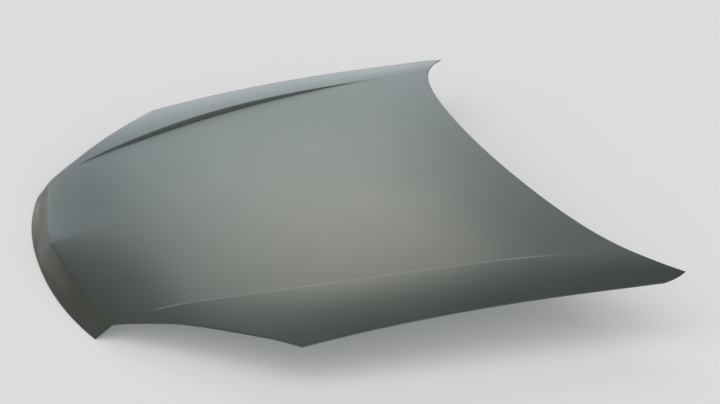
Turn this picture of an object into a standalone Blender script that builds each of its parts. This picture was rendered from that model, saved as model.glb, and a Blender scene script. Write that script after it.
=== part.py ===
"""A car bonnet: a pressed outer skin hemmed round an inner frame, with reinforcements, striker and mastic.

The bonnet lies as it lies on a car: +Z up, +Y to the rear, +X to the car's left. It stands on its nose
lip, and its origin is below the middle of its length. Places in plan are given as (out, back): the
distance out from the centre line and the distance back from the tip of the nose.
"""

import math

import bmesh
import bpy
import numpy as np
from mathutils import Vector
from mathutils.geometry import delaunay_2d_cdt

# Plan of the outer skin
LENGTH = 1.227
REAR_BOW = 0.096
TAIL_SWEEP = 0.070
TAIL_SWEEP_POWER = 7
LIP_HALF_WIDTH = 0.396
LIP_CORNER_BACK = 0.055
LIP_SWEEP_POWER = 2.2
CREASE_HALF_WIDTH = 0.411
CREASE_BACK = 0.031
CREASE_END_BACK = 0.091
CREASE_SWEEP_POWER = 1.42
HALF_WIDTH = 0.7495
SHOULDER_INSET = 0.0395
SHOULDER_BACK = 0.410
HEADLAMP_BOW = 0.0062
TAIL_INSET = 0.023
TAIL_LENGTH = 0.060
TAIL_BOW = 0.0035

# Heights of the outer skin
CREASE_HEIGHT = 0.0516
REAR_HEIGHT = 0.1638
RISE_POWER = 1.966
REAR_FALL = 0.0027
REAR_FALL_START = 0.850
CROWN_FRONT = 0.0552
CROWN_REAR = 0.0329
CROWN_FADE_POWER = 1.755
SHOULDER_SHARE = 0.2944
SHOULDER_POWER = 2.0
PROW_DEPTH = 0.0180
PROW_REACH = 0.099
PROW_ROUNDING = 0.130
PROW_SHARP_SHARE = 0.16
PROW_LENGTH = 0.2745
PROW_SHORTENING = 0.27
PROW_FADE_POWER = 2.91

# The pressed shoulder steps
STEP_START_FROM_CREASE = (0.016, 0.074)
STEP_END_TO_TAIL = (0.146, 0.177)
STEP_BOW = 0.0305
STEP_BOW_POWERS = (1.5, 2.0)
STEP_HEIGHT = 0.0092
STEP_HEIGHT_POWERS = (1.1, 1.8)
STEP_WALL = 0.007
STEP_LEFT_AT_EDGE = 0.7

# Sheets, hem and clearances
SKIN_THICKNESS = 0.0008
FRAME_THICKNESS = 0.0007
GAP = 0.0003
FOLD_GAP = 0.0004
HEM_WIDTH = 0.012
HEM_TO_SHOULDER = 0.010
SHOULDER_DEPTH = 0.001
CHANNEL_WALL = 0.016
CHANNEL_DEPTH = 0.022

# The inner frame's windows, in two rows of three
WINDOW_RADIUS = 0.035
WINDOW_FLANGE = 0.016
WINDOW_WALL = 0.014
MASTIC_GAP = 0.0034
FRONT_PANEL = 0.255
CROSS_BEAM = 0.105
REAR_BEAM = 0.136
FRONT_ROW_SHARE = 0.434
FRONT_CORNER_SHARE = 0.633
FRONT_CENTRE_HALF_WIDTHS = (0.125, 0.165)
REAR_CENTRE_HALF_WIDTHS = (0.185, 0.230)
BEAM_WIDTH = 0.088
FRONT_WINDOWS_TO_EDGE = (0.170, 0.185, 0.170)
REAR_WINDOWS_TO_EDGE = (0.145, 0.137)

# Hinge pads, plates and nuts
HINGE_TO_SIDE = 0.1445
HINGE_TO_REAR = 0.107
HINGE_PAD = (0.062, 0.096)
HINGE_PLATE = (0.054, 0.088)
HINGE_PLATE_THICKNESS = 0.0015
HINGE_BOLT_PITCH = 0.050
BOLT_HOLE_RADIUS = 0.0045
NUT_ACROSS_FLATS = 0.013
NUT_HEIGHT = 0.008
NUT_BORE_RADIUS = 0.0034

# Latch pad, plates and striker
LATCH_BACK = 0.138
LATCH_PAD = (0.130, 0.078)
LATCH_PLATE = (0.120, 0.068)
LATCH_PLATE_THICKNESS = 0.0015
STRIKER_PLATE = (0.080, 0.040)
STRIKER_PLATE_THICKNESS = 0.002
STRIKER_WIRE = 0.008
STRIKER_WIDTH = 0.044
STRIKER_DROP = 0.034
STRIKER_BEND = 0.010

# Round holes in the inner frame's beams
STAY_ROD_HOLE_OUT = 0.395
STAY_ROD_HOLE_RADIUS = 0.008
FRONT_DRAIN = (0.255, 0.175)
SIDE_DRAIN_TO_EDGE = 0.071
REAR_DRAIN_OUT = 0.330
DRAIN_HOLE_RADIUS = 0.009

MASTIC_RADIUS = 0.0065
PLATE_CORNER = 0.008

# How finely the sheets are divided
LIP_STATIONS = 10
LIP_END_STATIONS = 2
HEADLAMP_STATIONS = 9
SIDE_STATIONS = 12
TAIL_STATIONS = 2
REAR_STATIONS = 14
STEP_STATIONS = 16
PROW_STATIONS = 20
SKIN_GRID = 0.058
FRAME_GRID = 0.046
GRID_CLEARANCE = 0.45
HOLE_SIDES = 12
WINDOW_CORNER_STATIONS = 4
FOLD_STEPS = 5
WIRE_BEND_STEPS = 6
MASTIC_SIDES = 10
SLOPE_PROBE = 0.001

CENTRE_LENGTH = LENGTH - REAR_BOW - TAIL_SWEEP
SHOULDER_HALF_WIDTH = HALF_WIDTH - SHOULDER_INSET
SIDE_END_BACK = LENGTH - TAIL_LENGTH
TAIL_HALF_WIDTH = HALF_WIDTH - TAIL_INSET
STEP_START = (CREASE_HALF_WIDTH + STEP_START_FROM_CREASE[0], CREASE_END_BACK + STEP_START_FROM_CREASE[1])
STEP_END = (HALF_WIDTH - STEP_END_TO_TAIL[0], LENGTH - STEP_END_TO_TAIL[1])
FOLD_RADIUS = (2 * SKIN_THICKNESS + FRAME_THICKNESS + 2 * GAP) / 2
FRAME_EDGE = SKIN_THICKNESS + FOLD_GAP

PRIMER = (0.26, 0.28, 0.26)
PRIMER_INSIDE = (0.20, 0.22, 0.21)
ZINC = (0.55, 0.56, 0.55)
MASTIC = (0.10, 0.10, 0.10)


# The skin's surface

def eased(t):
    """A rise from 0 to 1 that starts and ends level."""
    t = np.clip(t, 0, 1)
    return t * t * (3 - 2 * t)


def lip_back(out):
    """How far back the lip's lower edge lies."""
    return LIP_CORNER_BACK * (np.abs(out) / LIP_HALF_WIDTH) ** LIP_SWEEP_POWER


def crease_back(out):
    """How far back the crease above the lip lies."""
    share = (np.abs(out) / CREASE_HALF_WIDTH) ** CREASE_SWEEP_POWER
    return CREASE_BACK + (CREASE_END_BACK - CREASE_BACK) * share


def rear_back(out):
    """How far back the rear edge lies: a shallow bow, and a sharp sweep near the tails."""
    share = np.abs(out) / TAIL_HALF_WIDTH
    return CENTRE_LENGTH + REAR_BOW * share**2 + TAIL_SWEEP * share**TAIL_SWEEP_POWER


def hump(t, powers):
    """A rise from 0 to 1 and back to 0 as t goes from 0 to 1, steeper at the end with the lower power."""
    rise, fall = powers
    t = np.clip(t, 0, 1)
    peak = rise / (rise + fall)
    return t**rise * (1 - t) ** fall / (peak**rise * (1 - peak) ** fall)


def along_step(back):
    """The share of the step's length that lies ahead of a place."""
    return (back - STEP_START[1]) / (STEP_END[1] - STEP_START[1])


def step_out(back):
    """How far out the middle of the shoulder step's wall lies: a straight line bowed outwards."""
    t = along_step(back)
    return STEP_START[0] + (STEP_END[0] - STEP_START[0]) * t + STEP_BOW * hump(t, STEP_BOW_POWERS)


def side_out(back):
    """How far out the straight side edge lies."""
    t = (back - SHOULDER_BACK) / (SIDE_END_BACK - SHOULDER_BACK)
    return SHOULDER_HALF_WIDTH + (HALF_WIDTH - SHOULDER_HALF_WIDTH) * t


def edge_out(back):
    """How far out the skin's edge lies behind the crease, along the headlamp cut and then the side."""
    t = (back - CREASE_END_BACK) / (SHOULDER_BACK - CREASE_END_BACK)
    headlamp = CREASE_HALF_WIDTH + (SHOULDER_HALF_WIDTH - CREASE_HALF_WIDTH) * t
    return float(min(headlamp, side_out(back)))


def shoulder(out, back):
    """What the step adds outside its wall. It falls off towards the side edge."""
    out = np.abs(out)
    middle = step_out(back)
    wall = eased((out - middle) / STEP_WALL + 0.5)
    reach = np.clip((out - middle) / (side_out(back) - middle), 0, 1)
    height = STEP_HEIGHT * hump(along_step(back), STEP_HEIGHT_POWERS)
    return height * wall * (1 - (1 - STEP_LEFT_AT_EDGE) * reach**2)


def crown(out, back):
    """How far the skin lies below its centre line, without the steps.

    The prow's ridge is rounded along its top, but for a small share that stays sharp.
    """
    t = (back - CREASE_BACK) / (LENGTH - CREASE_BACK)
    fall = CROWN_FRONT - (CROWN_FRONT - CROWN_REAR) * np.clip(t, 0, 1) ** CROWN_FADE_POWER
    out = np.abs(out)
    middle = step_out(back)
    past_step = np.clip((out - middle) / (HALF_WIDTH - middle), 0, None)
    bend = (1 - SHOULDER_SHARE) * (out / HALF_WIDTH) ** 2 + SHOULDER_SHARE * past_step**SHOULDER_POWER
    rounded_ridge = np.sqrt(out**2 + PROW_ROUNDING**2) - PROW_ROUNDING
    ridge = PROW_SHARP_SHARE * out + (1 - PROW_SHARP_SHARE) * rounded_ridge
    prow = PROW_DEPTH * (1 - np.exp(-ridge / PROW_REACH))
    length = PROW_LENGTH * (1 - PROW_SHORTENING * out / CREASE_HALF_WIDTH)
    behind_crease = np.clip((back - crease_back(out)) / length, 0, 1)
    return fall * bend + prow * (1 - behind_crease) ** PROW_FADE_POWER


def plain_height(out, back):
    """The top panel's height without the steps."""
    t = np.clip((back - CREASE_BACK) / (CENTRE_LENGTH - CREASE_BACK), 0, 1)
    centre = REAR_HEIGHT - (REAR_HEIGHT - CREASE_HEIGHT) * (1 - t) ** RISE_POWER
    fall = REAR_FALL * eased((back - REAR_FALL_START) / (LENGTH - REAR_FALL_START))
    return centre - fall - crown(out, back)


def with_lip(height, out, back):
    """The height, or the straight slope of the lip where the place is ahead of the crease."""
    crease = crease_back(out)
    low = lip_back(out)
    slope = plain_height(out, crease) * (back - low) / (crease - low)
    return np.where(back < crease, slope, height)


def base_height(out, back):
    """The skin's height without its steps, which the inner frame follows away from the hem."""
    return with_lip(plain_height(out, back), out, back)


def skin_height(out, back):
    """The outer skin's height."""
    return with_lip(plain_height(out, back) + shoulder(out, back), out, back)


def lifted(height, plan):
    """Plan points raised to a height function, and the surface's upward normals there."""
    plan = np.asarray(plan, float)
    out, back = plan[:, 0], plan[:, 1]
    rise_out = height(out + SLOPE_PROBE, back) - height(out - SLOPE_PROBE, back)
    rise_back = height(out, back + SLOPE_PROBE) - height(out, back - SLOPE_PROBE)
    normals = np.stack([-rise_out, -rise_back, np.full(len(plan), 2 * SLOPE_PROBE)], 1)
    normals /= np.linalg.norm(normals, axis=1)[:, None]
    return np.column_stack([out, back, height(out, back)]), normals


# The outline

def bowed(start, end, bow, count):
    """Points from start up to, but not including, end, bowed to the left of that direction."""
    start, end = np.array(start), np.array(end)
    t = np.arange(count)[:, None] / count
    along = end - start
    left = np.array([-along[1], along[0]]) / np.linalg.norm(along)
    return start + along * t + left * bow * 4 * t * (1 - t)


def half_outline():
    """The skin's edge on the left side, from the nose round to the middle of the rear edge."""
    lip = LIP_HALF_WIDTH * np.arange(LIP_STATIONS) / LIP_STATIONS
    crease_end = (CREASE_HALF_WIDTH, CREASE_END_BACK)
    shoulder_corner = (SHOULDER_HALF_WIDTH, SHOULDER_BACK)
    side_end = (HALF_WIDTH, SIDE_END_BACK)
    tail = (TAIL_HALF_WIDTH, LENGTH)
    rear = TAIL_HALF_WIDTH * (1 - np.arange(REAR_STATIONS) / (REAR_STATIONS - 1))
    return np.concatenate([
        np.column_stack([lip, lip_back(lip)]),
        bowed((LIP_HALF_WIDTH, LIP_CORNER_BACK), crease_end, 0, LIP_END_STATIONS),
        bowed(crease_end, shoulder_corner, HEADLAMP_BOW, HEADLAMP_STATIONS),
        bowed(shoulder_corner, side_end, 0, SIDE_STATIONS),
        bowed(side_end, tail, -TAIL_BOW, TAIL_STATIONS),
        np.column_stack([rear, rear_back(rear)]),
    ])


def mirrored(half):
    """A closed loop from its left half, which starts and ends on the centre line."""
    other = half[-2:0:-1] * (-1, 1)
    return np.concatenate([half, other])


def mitres(loop):
    """For each corner of an anticlockwise loop, the way that an inset of its sides by 1 moves it."""
    before = loop - np.roll(loop, 1, axis=0)
    after = np.roll(loop, -1, axis=0) - loop
    sides = []
    for side in (before, after):
        side = side / np.linalg.norm(side, axis=1)[:, None]
        sides.append(np.column_stack([-side[:, 1], side[:, 0]]))
    both = sides[0] + sides[1]
    return both * 2 / (both**2).sum(axis=1)[:, None]


OUTLINE = mirrored(half_outline())
MITRES = mitres(OUTLINE)


def edge_plan(inset):
    """The plan places that lie inset from the outline, measured along the sloping skin."""
    _, normals = lifted(skin_height, OUTLINE + MITRES * HEM_WIDTH / 2)
    rise = -(MITRES * normals[:, :2]).sum(axis=1) / normals[:, 2]
    stretch = np.linalg.norm(MITRES, axis=1) / np.hypot(np.linalg.norm(MITRES, axis=1), rise)
    return OUTLINE + MITRES * (stretch * inset)[:, None]


def edge_ring(inset, depth):
    """A ring of points inset from the outline, and depth below the skin's face along its normal."""
    points, normals = lifted(skin_height, edge_plan(inset))
    return points - normals * depth


# Loops of plan points

def rounded(corners, radius, outset=0):
    """An anticlockwise loop with round corners, its sides moved out by the outset."""
    corners = np.array(corners, float)
    corners = corners - mitres(corners) * outset
    radius = radius + outset
    points = []
    for i, corner in enumerate(corners):
        to_last = corners[i - 1] - corner
        to_next = corners[(i + 1) % len(corners)] - corner
        to_last /= np.linalg.norm(to_last)
        to_next /= np.linalg.norm(to_next)
        half_angle = math.acos(np.clip(to_last @ to_next, -1, 1)) / 2
        inward = (to_last + to_next) / np.linalg.norm(to_last + to_next)
        middle = corner + inward * radius / math.sin(half_angle)
        start = corner + to_last * radius / math.tan(half_angle) - middle
        turn = math.pi - 2 * half_angle
        for step in range(WINDOW_CORNER_STATIONS):
            angle = turn * step / (WINDOW_CORNER_STATIONS - 1)
            turned = (
                start[0] * math.cos(angle) - start[1] * math.sin(angle),
                start[0] * math.sin(angle) + start[1] * math.cos(angle),
            )
            points.append(middle + turned)
    return np.array(points)


def circle(centre, radius, sides=HOLE_SIDES):
    angles = 2 * math.pi * np.arange(sides) / sides
    return np.column_stack([centre[0] + radius * np.cos(angles), centre[1] + radius * np.sin(angles)])


def rectangle(centre, size):
    """The four corners of a rectangle, anticlockwise."""
    across, along = size[0] / 2, size[1] / 2
    signs = ((-1, -1), (1, -1), (1, 1), (-1, 1))
    return np.array([(centre[0] + across * x, centre[1] + along * y) for x, y in signs])


def flipped(loop):
    """A loop's mirror image on the right side, still anticlockwise."""
    return loop[::-1] * (-1, 1)


def inside(points, loop):
    """Which plan points lie inside a loop, by counting the sides that a ray crosses."""
    after = np.roll(loop, -1, axis=0)
    x, y = points[:, 0][:, None], points[:, 1][:, None]
    crosses = (loop[:, 1] > y) != (after[:, 1] > y)
    height = np.where(after[:, 1] == loop[:, 1], 1, after[:, 1] - loop[:, 1])
    at = loop[:, 0] + (y - loop[:, 1]) * (after[:, 0] - loop[:, 0]) / height
    return (crosses & (x < at)).sum(axis=1) % 2 == 1


def clear_of(points, line, distance):
    """Which plan points lie at least a distance away from every part of a line of points."""
    start, end = line[:-1], line[1:]
    along = end - start
    offset = points[:, None] - start
    share = np.clip((offset * along).sum(axis=2) / (along**2).sum(axis=1), 0, 1)
    return np.linalg.norm(offset - share[:, :, None] * along, axis=2).min(axis=1) > distance


def grid_inside(loop, lines, spacing):
    """A grid of plan points inside a loop, in staggered rows, symmetric and clear of the lines."""
    rows = np.arange(0, LENGTH, spacing * math.sqrt(3) / 2)
    columns = math.ceil(HALF_WIDTH / spacing)
    points = []
    for number, back in enumerate(rows):
        shift = spacing / 2 * (number % 2)
        for column in range(-columns, columns + 1 - number % 2):
            points.append((column * spacing + shift, back))
    points = np.array(points)
    points = points[inside(points, loop)]
    for line in lines:
        points = points[clear_of(points, line, spacing * GRID_CLEARANCE)]
    return points


def closed_line(loop):
    return np.concatenate([loop, loop[:1]])


# Sheets

def triangulated(loops, lines, loose):
    """Triangles through all the points, with every side of the loops and lines as an edge."""
    points = np.concatenate([*loops, *lines, loose])
    edges = []
    first = 0
    for group, closes in [(loop, True) for loop in loops] + [(line, False) for line in lines]:
        count = len(group)
        edges += [(first + i, first + (i + 1) % count) for i in range(count if closes else count - 1)]
        first += count
    vectors = [Vector(point) for point in points]
    found = delaunay_2d_cdt(vectors, edges, [], 0, 1e-7, True)
    if len(found[0]) != len(points):
        raise ValueError("two lines of the sheet cross or meet")
    order = np.array([origin[0] for origin in found[3]])
    triangles = order[np.array(found[2])]
    corners = points[triangles]
    area = np.cross(corners[:, 1] - corners[:, 0], corners[:, 2] - corners[:, 0])
    triangles[area < 0] = triangles[area < 0][:, ::-1]
    return points, triangles


def trimmed(points, triangles, outer, holes):
    """The triangles inside the outer loop and outside the holes."""
    middles = points[triangles].mean(axis=1)
    kept = inside(middles, outer)
    for hole in holes:
        kept &= ~inside(middles, hole)
    return triangles[kept]


def sheet_normals(points, triangles):
    """Each point's normal, as the sum of its triangles' normals by area."""
    corners = points[triangles]
    faces = np.cross(corners[:, 1] - corners[:, 0], corners[:, 2] - corners[:, 0])
    normals = np.zeros_like(points)
    for corner in range(3):
        np.add.at(normals, triangles[:, corner], faces)
    return normals / np.linalg.norm(normals, axis=1)[:, None]


def strip(first, second):
    """Triangles between two closed rings of point numbers of the same length."""
    next_first, next_second = np.roll(first, -1), np.roll(second, -1)
    return np.concatenate([
        np.column_stack([first, second, next_second]),
        np.column_stack([first, next_second, next_first]),
    ])


# Objects

def material(name, colour, roughness, metallic=0.0):
    made = bpy.data.materials.new(name)
    made.use_nodes = True
    shader = made.node_tree.nodes["Principled BSDF"]
    shader.inputs["Base Color"].default_value = (*colour, 1)
    shader.inputs["Roughness"].default_value = roughness
    shader.inputs["Metallic"].default_value = metallic
    made.diffuse_color = (*colour, 1)
    return made


def placed(name, points, faces, finish, parent):
    """An object from points and faces, with its faces turned out and its soft edges shaded smooth."""
    mesh = bpy.data.meshes.new(name)
    mesh.from_pydata([tuple(point) for point in points], [], [tuple(map(int, face)) for face in faces])
    shape = bmesh.new()
    shape.from_mesh(mesh)
    bmesh.ops.recalc_face_normals(shape, faces=shape.faces)
    shape.to_mesh(mesh)
    shape.free()
    mesh.shade_smooth()
    mesh.set_sharp_from_angle(angle=math.radians(30))
    mesh.materials.append(finish)
    made = bpy.data.objects.new(name, mesh)
    made.parent = parent
    bpy.context.scene.collection.objects.link(made)
    return made


def skin_sheet():
    """The skin's plan points and triangles, inside the ring where its fold starts."""
    start = edge_plan(FOLD_RADIUS)
    hem = edge_plan(HEM_WIDTH + GAP)
    crease_end = LIP_STATIONS + LIP_END_STATIONS
    crease_outs = np.linspace(hem[crease_end, 0], hem[-crease_end, 0], 2 * LIP_STATIONS + 1)[1:-1]
    crease = np.column_stack([crease_outs, crease_back(crease_outs)])
    step_share = np.linspace(0, 1, STEP_STATIONS + 1)[1:-1]
    step_backs = STEP_START[1] + (STEP_END[1] - STEP_START[1]) * step_share
    steps = []
    for side in (-1, 1):
        for place in (-0.5, 0.5):
            wall = step_out(step_backs) + place * STEP_WALL
            steps.append(np.column_stack([side * wall, step_backs]))
    prow_backs = np.linspace(CREASE_BACK, CENTRE_LENGTH, PROW_STATIONS)[1:-1]
    prow = np.column_stack([np.zeros(len(prow_backs)), prow_backs])
    lines = [crease, *steps, prow]
    loose = grid_inside(hem, [closed_line(hem), *lines], SKIN_GRID)
    points, triangles = triangulated([start, hem], lines, loose)
    return points, trimmed(points, triangles, start, []), len(start)


def hem_profile():
    """The fold's section as (inset, depth) pairs: round the outside, along the flange, and back inside."""
    inner = FOLD_RADIUS - SKIN_THICKNESS
    angles = [math.pi * step / FOLD_STEPS for step in range(1, FOLD_STEPS + 1)]
    outside = [(FOLD_RADIUS * (1 - math.sin(a)), FOLD_RADIUS * (1 - math.cos(a))) for a in angles]
    inside_fold = [(FOLD_RADIUS - inner * math.sin(a), FOLD_RADIUS - inner * math.cos(a)) for a in angles]
    flange = [(HEM_WIDTH, 2 * FOLD_RADIUS), (HEM_WIDTH, 2 * FOLD_RADIUS - SKIN_THICKNESS)]
    return outside + flange + inside_fold[::-1]


def outer_skin(finish, parent):
    """The outer skin: its sheet, and the hem that folds under the inner frame's edge."""
    plan, triangles, count = skin_sheet()
    top, normals = lifted(skin_height, plan)
    under = top - normals * SKIN_THICKNESS
    rings = [edge_ring(inset, depth) for inset, depth in hem_profile()]
    points = np.concatenate([top, under, *rings])
    sheet = len(plan)
    numbers = [np.arange(count)]
    numbers += [2 * sheet + count * number + np.arange(count) for number in range(len(rings))]
    numbers.append(sheet + np.arange(count))
    faces = [triangles, triangles[:, ::-1] + sheet]
    faces += [strip(first, second)[:, ::-1] for first, second in zip(numbers[:-1], numbers[1:])]
    return placed("outer_skin", points, np.concatenate(faces), finish, parent)


# The inner frame

def channel_corners():
    """The outline's main corners, without the tails, which the perimeter channel follows."""
    outs = np.array([0, 0.5, 1]) * LIP_HALF_WIDTH
    front = np.column_stack([outs, lip_back(outs)])
    crease_end = [(CREASE_HALF_WIDTH, CREASE_END_BACK)]
    side = [(SHOULDER_HALF_WIDTH, SHOULDER_BACK), (side_out(tail_start()), tail_start())]
    rear = TAIL_HALF_WIDTH * np.array([0.9, 0.75, 0.5, 0.25, 0])
    return mirrored(np.concatenate([front, crease_end, side, np.column_stack([rear, rear_back(rear)])]))


def tail_start():
    """How far back the perimeter channel turns in, ahead of the tail."""
    return SIDE_END_BACK - HEM_WIDTH - HEM_TO_SHOULDER - CHANNEL_WALL


def channel_loop(inset):
    """The channel's line at an inset, with points along its long sides."""
    corners = channel_corners()
    corners = corners + mitres(corners) * inset
    points = []
    for corner, after in zip(corners, np.roll(corners, -1, axis=0)):
        pieces = max(1, round(np.linalg.norm(after - corner) / SKIN_GRID))
        points += [corner + (after - corner) * i / pieces for i in range(pieces)]
    return np.array(points)


def window_rows():
    """The (front, rear) backs of the two rows of windows, which share the length between the beams."""
    both = CENTRE_LENGTH - REAR_BEAM - FRONT_PANEL - CROSS_BEAM
    front_end = FRONT_PANEL + both * FRONT_ROW_SHARE
    return (FRONT_PANEL, front_end), (front_end + CROSS_BEAM, CENTRE_LENGTH - REAR_BEAM)


def windows():
    """The six windows' corners by name, with the beams between them as wide as stated."""
    front, rear = window_rows()
    corner = front[0] + (front[1] - front[0]) * FRONT_CORNER_SHARE
    found = {}
    for row, backs, edge_backs, halves, to_edge in (
        ("front", front, (front[0], corner, front[1]), FRONT_CENTRE_HALF_WIDTHS, FRONT_WINDOWS_TO_EDGE),
        ("rear", rear, rear, REAR_CENTRE_HALF_WIDTHS, REAR_WINDOWS_TO_EDGE),
    ):
        half = np.column_stack([halves, backs])
        found["centre_" + row] = np.concatenate([half, half[::-1] * (-1, 1)])
        outer = [(edge_out(back) - margin, back) for back, margin in zip(edge_backs, to_edge)]
        corners = np.concatenate([outer, half[::-1] + (BEAM_WIDTH, 0)])
        found["left_" + row] = corners
        found["right_" + row] = flipped(corners)
    return found


def pad_centres():
    """Where the flat pads are, with their sizes."""
    hinge_out = HALF_WIDTH - HINGE_TO_SIDE
    hinge_back = rear_back(hinge_out) - HINGE_TO_REAR
    return {
        "hinge_left": ((hinge_out, hinge_back), HINGE_PAD),
        "hinge_right": ((-hinge_out, hinge_back), HINGE_PAD),
        "latch": ((0.0, LATCH_BACK), LATCH_PAD),
    }


def round_holes():
    """The stay rod's hole in the left of the cross beam, and the drain holes, as (centre, radius) pairs."""
    front, rear = window_rows()
    middle = (rear[0] + rear[1]) / 2
    drains = [
        FRONT_DRAIN,
        (edge_out(middle) - SIDE_DRAIN_TO_EDGE, middle),
        (REAR_DRAIN_OUT, rear[1] + REAR_BEAM / 2),
    ]
    holes = [((STAY_ROD_HOLE_OUT, (front[1] + rear[0]) / 2), STAY_ROD_HOLE_RADIUS)]
    return holes + [((side * out, back), DRAIN_HOLE_RADIUS) for out, back in drains for side in (-1, 1)]


def pad_height(centre):
    """The height of a flat pad's upper face."""
    return float(base_height(*np.array(centre)) - SKIN_THICKNESS - CHANNEL_DEPTH)


def hinge_bolts(centre):
    """The two bolt centres of a hinge pad."""
    return [(centre[0], centre[1] + side * HINGE_BOLT_PITCH / 2) for side in (-1, 1)]


def frame_loops():
    """The inner frame's loops as (points, height rule) pairs, and the loops that are cut out."""
    loops = [
        (edge_plan(FRAME_EDGE), "flange"),
        (edge_plan(HEM_WIDTH + GAP), "flange"),
        (channel_loop(HEM_WIDTH + HEM_TO_SHOULDER), "shoulder"),
        (channel_loop(HEM_WIDTH + HEM_TO_SHOULDER + CHANNEL_WALL), "floor"),
    ]
    cut = []
    for corners in windows().values():
        cut.append(rounded(corners, WINDOW_RADIUS))
        loops.append((cut[-1], "window"))
        loops.append((rounded(corners, WINDOW_RADIUS, WINDOW_FLANGE), "window"))
        loops.append((rounded(corners, WINDOW_RADIUS, WINDOW_FLANGE + WINDOW_WALL), "floor"))
    for centre, size in pad_centres().values():
        loops.append((rounded(rectangle(centre, size), PLATE_CORNER), pad_height(centre)))
        if size is HINGE_PAD:
            for bolt in hinge_bolts(centre):
                cut.append(circle(bolt, BOLT_HOLE_RADIUS))
                loops.append((cut[-1], pad_height(centre)))
    for centre, radius in round_holes():
        cut.append(circle(centre, radius))
        loops.append((cut[-1], "floor"))
    return loops, cut


def frame_heights(plan, rule):
    """The frame's upper face at plan points: against the skin, below it, or flat on a pad."""
    if isinstance(rule, float):
        return np.column_stack([plan, np.full(len(plan), rule)])
    height = skin_height if rule in ("flange", "shoulder") else base_height
    points, normals = lifted(height, plan)
    points -= normals * (SKIN_THICKNESS + GAP)
    depth = {"flange": 0, "shoulder": SHOULDER_DEPTH, "window": MASTIC_GAP, "floor": CHANNEL_DEPTH}[rule]
    return points - (0, 0, depth)


def inner_frame(finish, parent):
    """The pressed inner frame: one sheet with its channel, beams, windows, pads and holes."""
    loops, cut = frame_loops()
    plans = [plan for plan, _ in loops]
    floor = plans[3]
    walls = [plan for plan, rule in loops if rule != "window"][4:]
    loose = grid_inside(floor, [closed_line(plan) for plan in [floor, *walls]], FRAME_GRID)
    for corners in windows().values():
        loose = loose[~inside(loose, rounded(corners, WINDOW_RADIUS, WINDOW_FLANGE + WINDOW_WALL))]
    for centre, size in pad_centres().values():
        loose = loose[~inside(loose, rectangle(centre, size))]
    plan, triangles = triangulated(plans, [], loose)
    triangles = trimmed(plan, triangles, plans[0], cut)
    top = np.concatenate([frame_heights(*loop) for loop in loops] + [frame_heights(loose, "floor")])
    under = top - sheet_normals(top, triangles) * FRAME_THICKNESS
    faces = [triangles, triangles[:, ::-1] + len(top)]
    first = 0
    for loop_plan, _ in loops:
        ring = first + np.arange(len(loop_plan))
        if first == 0 or any(loop_plan is hole for hole in cut):
            faces.append(strip(ring, ring + len(top)))
        first += len(loop_plan)
    faces = np.concatenate(faces)
    return placed("inner_frame", np.concatenate([top, under]), faces, finish, parent)


# Plates, nuts, striker and mastic

def plate(name, centre, size, bottom, thickness, holes, finish, parent):
    """A flat plate with round corners and round holes."""
    outer = rounded(rectangle(centre, size), PLATE_CORNER)
    loops = [outer, *holes]
    plan, triangles = triangulated(loops, [], np.empty((0, 2)))
    triangles = trimmed(plan, triangles, outer, holes)
    count = len(plan)
    points = np.concatenate([
        np.column_stack([plan, np.full(count, bottom + thickness)]),
        np.column_stack([plan, np.full(count, bottom)]),
    ])
    faces = [triangles, triangles[:, ::-1] + count]
    first = 0
    for loop in loops:
        ring = first + np.arange(len(loop))
        faces.append(strip(ring, ring + count))
        first += len(loop)
    return placed(name, points, np.concatenate(faces), finish, parent)


def nut(name, centre, bottom, finish, parent):
    """A hexagonal weld nut with its bore."""
    hexagon = circle(centre, NUT_ACROSS_FLATS / math.sqrt(3), 6)
    bore = circle(centre, NUT_BORE_RADIUS)
    plan, triangles = triangulated([hexagon, bore], [], np.empty((0, 2)))
    triangles = trimmed(plan, triangles, hexagon, [bore])
    count = len(plan)
    points = np.concatenate([
        np.column_stack([plan, np.full(count, bottom + NUT_HEIGHT)]),
        np.column_stack([plan, np.full(count, bottom)]),
    ])
    rings = [np.arange(6), 6 + np.arange(HOLE_SIDES)]
    faces = [triangles, triangles[:, ::-1] + count] + [strip(ring, ring + count) for ring in rings]
    return placed(name, points, np.concatenate(faces), finish, parent)


def hinge_fixings(steel, zinc, parent):
    """A reinforcement plate and two weld nuts on each hinge pad."""
    for side in ("left", "right"):
        centre, _ = pad_centres()["hinge_" + side]
        bottom = pad_height(centre) + GAP
        holes = [circle(bolt, BOLT_HOLE_RADIUS) for bolt in hinge_bolts(centre)]
        name = "hinge_reinforcement_" + side
        plate(name, centre, HINGE_PLATE, bottom, HINGE_PLATE_THICKNESS, holes, steel, parent)
        top = bottom + HINGE_PLATE_THICKNESS + GAP
        for end, bolt in zip(("front", "rear"), hinge_bolts(centre)):
            nut(f"hinge_nut_{side}_{end}", bolt, top, zinc, parent)


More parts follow.
